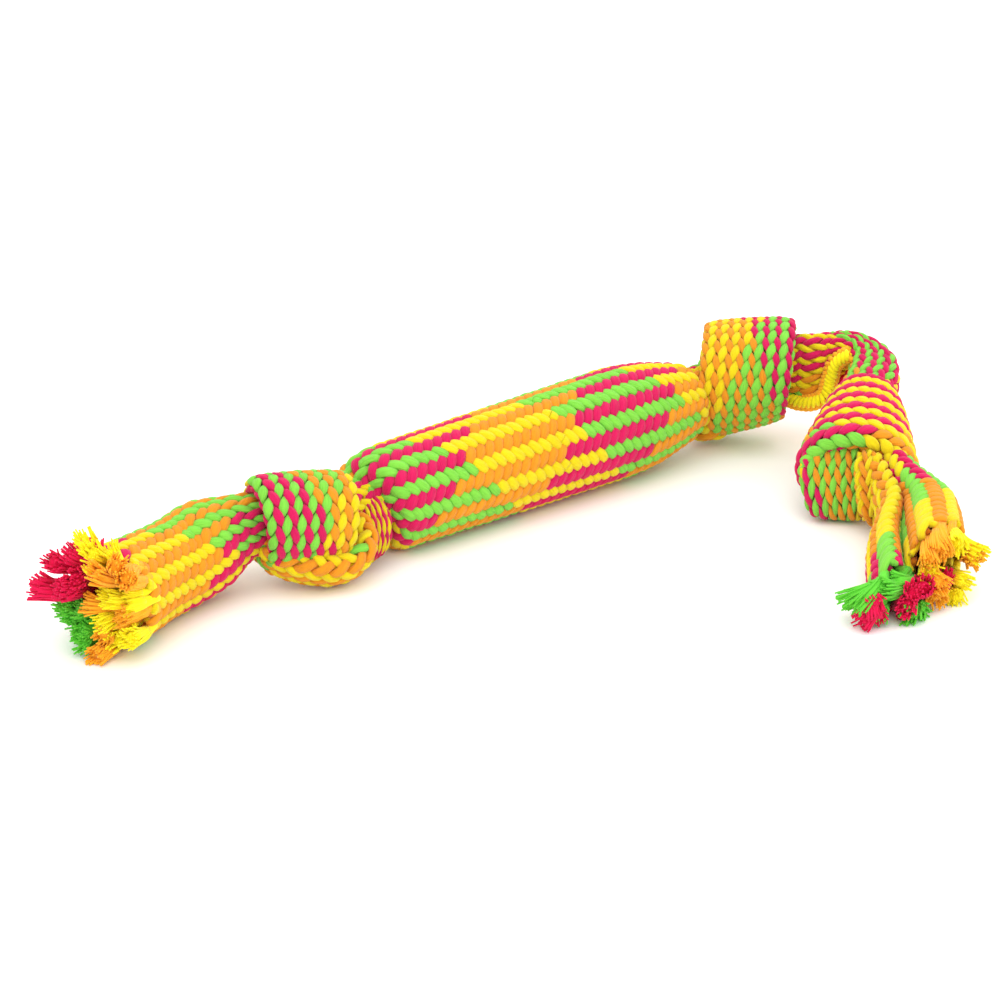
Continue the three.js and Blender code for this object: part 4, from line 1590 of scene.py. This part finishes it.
    def right_tassel(self) -> Tassel:
        """The frayed ends of the right tail.

        Returns:
            The tassel.
        """
        return Tassel(
            "right", self.frayed, self.right_tail().rings()[-1], unit(np.array([-13.0, -12.0, 0.0])),
            (Tuft(GREEN, 0.75, -0.3, 12), Tuft(MAGENTA, 0.2, -0.1, 13), Tuft(GREEN, 0.1, -0.1, 17),
             Tuft(MAGENTA, -0.1, 0.1, 17), Tuft(GREEN, 0.1, -0.1, 20), Tuft(MAGENTA, -0.2, 0.2, 18),
             Tuft(YELLOW, 0.2, -0.1, 19), Tuft(ORANGE, 0.35, 0.0, 14), Tuft(YELLOW, 0.2, -0.1, 12),
             Tuft(ORANGE, -0.4, -0.2, 12)),
            first=112.5, gap=75.0, bloom=2.2, inner=0.2, seed=6,
        )

    def build(self) -> list[bpy.types.Object]:
        """Makes every piece.

        Returns:
            The pieces.
        """
        body = StuffedBody(self.finishes)
        made = body.build()
        made.append(Filling(body).build())
        for part in (
            self.left_knot(), self.right_knot(), self.left_tail(), self.link(), BellKnot(self.finishes),
            self.right_tail(), self.left_tassel(), self.right_tassel(),
        ):
            made += part.build()
        return made


def main() -> None:
    """Sets up the studio and builds the toy."""
    logging.basicConfig(level=logging.INFO, format="%(message)s")
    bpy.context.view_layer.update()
    Studio().build()
    fibre = FibreGroup().build()
    # The second colour of each finish is painted shade in the creases, which the strands' real tone and grain
    # also shift towards.
    braided = (
        YarnFinish(GREEN, (0.22, 0.66, 0.06), (0.05, 0.27, 0.015)),
        YarnFinish(YELLOW, (0.8, 0.65, 0.006), (0.58, 0.33, 0.0)),
        YarnFinish(ORANGE, (0.8, 0.3, 0.012), (0.48, 0.11, 0.0)),
        YarnFinish(MAGENTA, (0.67, 0.008, 0.1), (0.25, 0.0, 0.035)),
    )
    # Brighter copies, painted light: in the tufts they stand in for light passing through loose fibres, on
    # the link's folds they lighten folds that lie in shade.
    frayed = (
        YarnFinish(GREEN, (0.13, 0.64, 0.04), (0.03, 0.28, 0.01), True),
        YarnFinish(YELLOW, (0.97, 0.86, 0.01), (0.9, 0.55, 0.0), True),
        YarnFinish(ORANGE, (0.97, 0.45, 0.02), (0.85, 0.25, 0.0), True),
        YarnFinish(MAGENTA, (0.8, 0.005, 0.08), (0.45, 0.0, 0.03), True),
    )
    toy = RopeToy(
        {finish.yarn: finish.build(fibre) for finish in braided},
        {finish.yarn: finish.build(fibre) for finish in frayed},
    )
    for piece in toy.build():
        LOG.info("%s: %d faces", piece.name, len(piece.data.polygons))


if __name__ == "__main__":
    main()
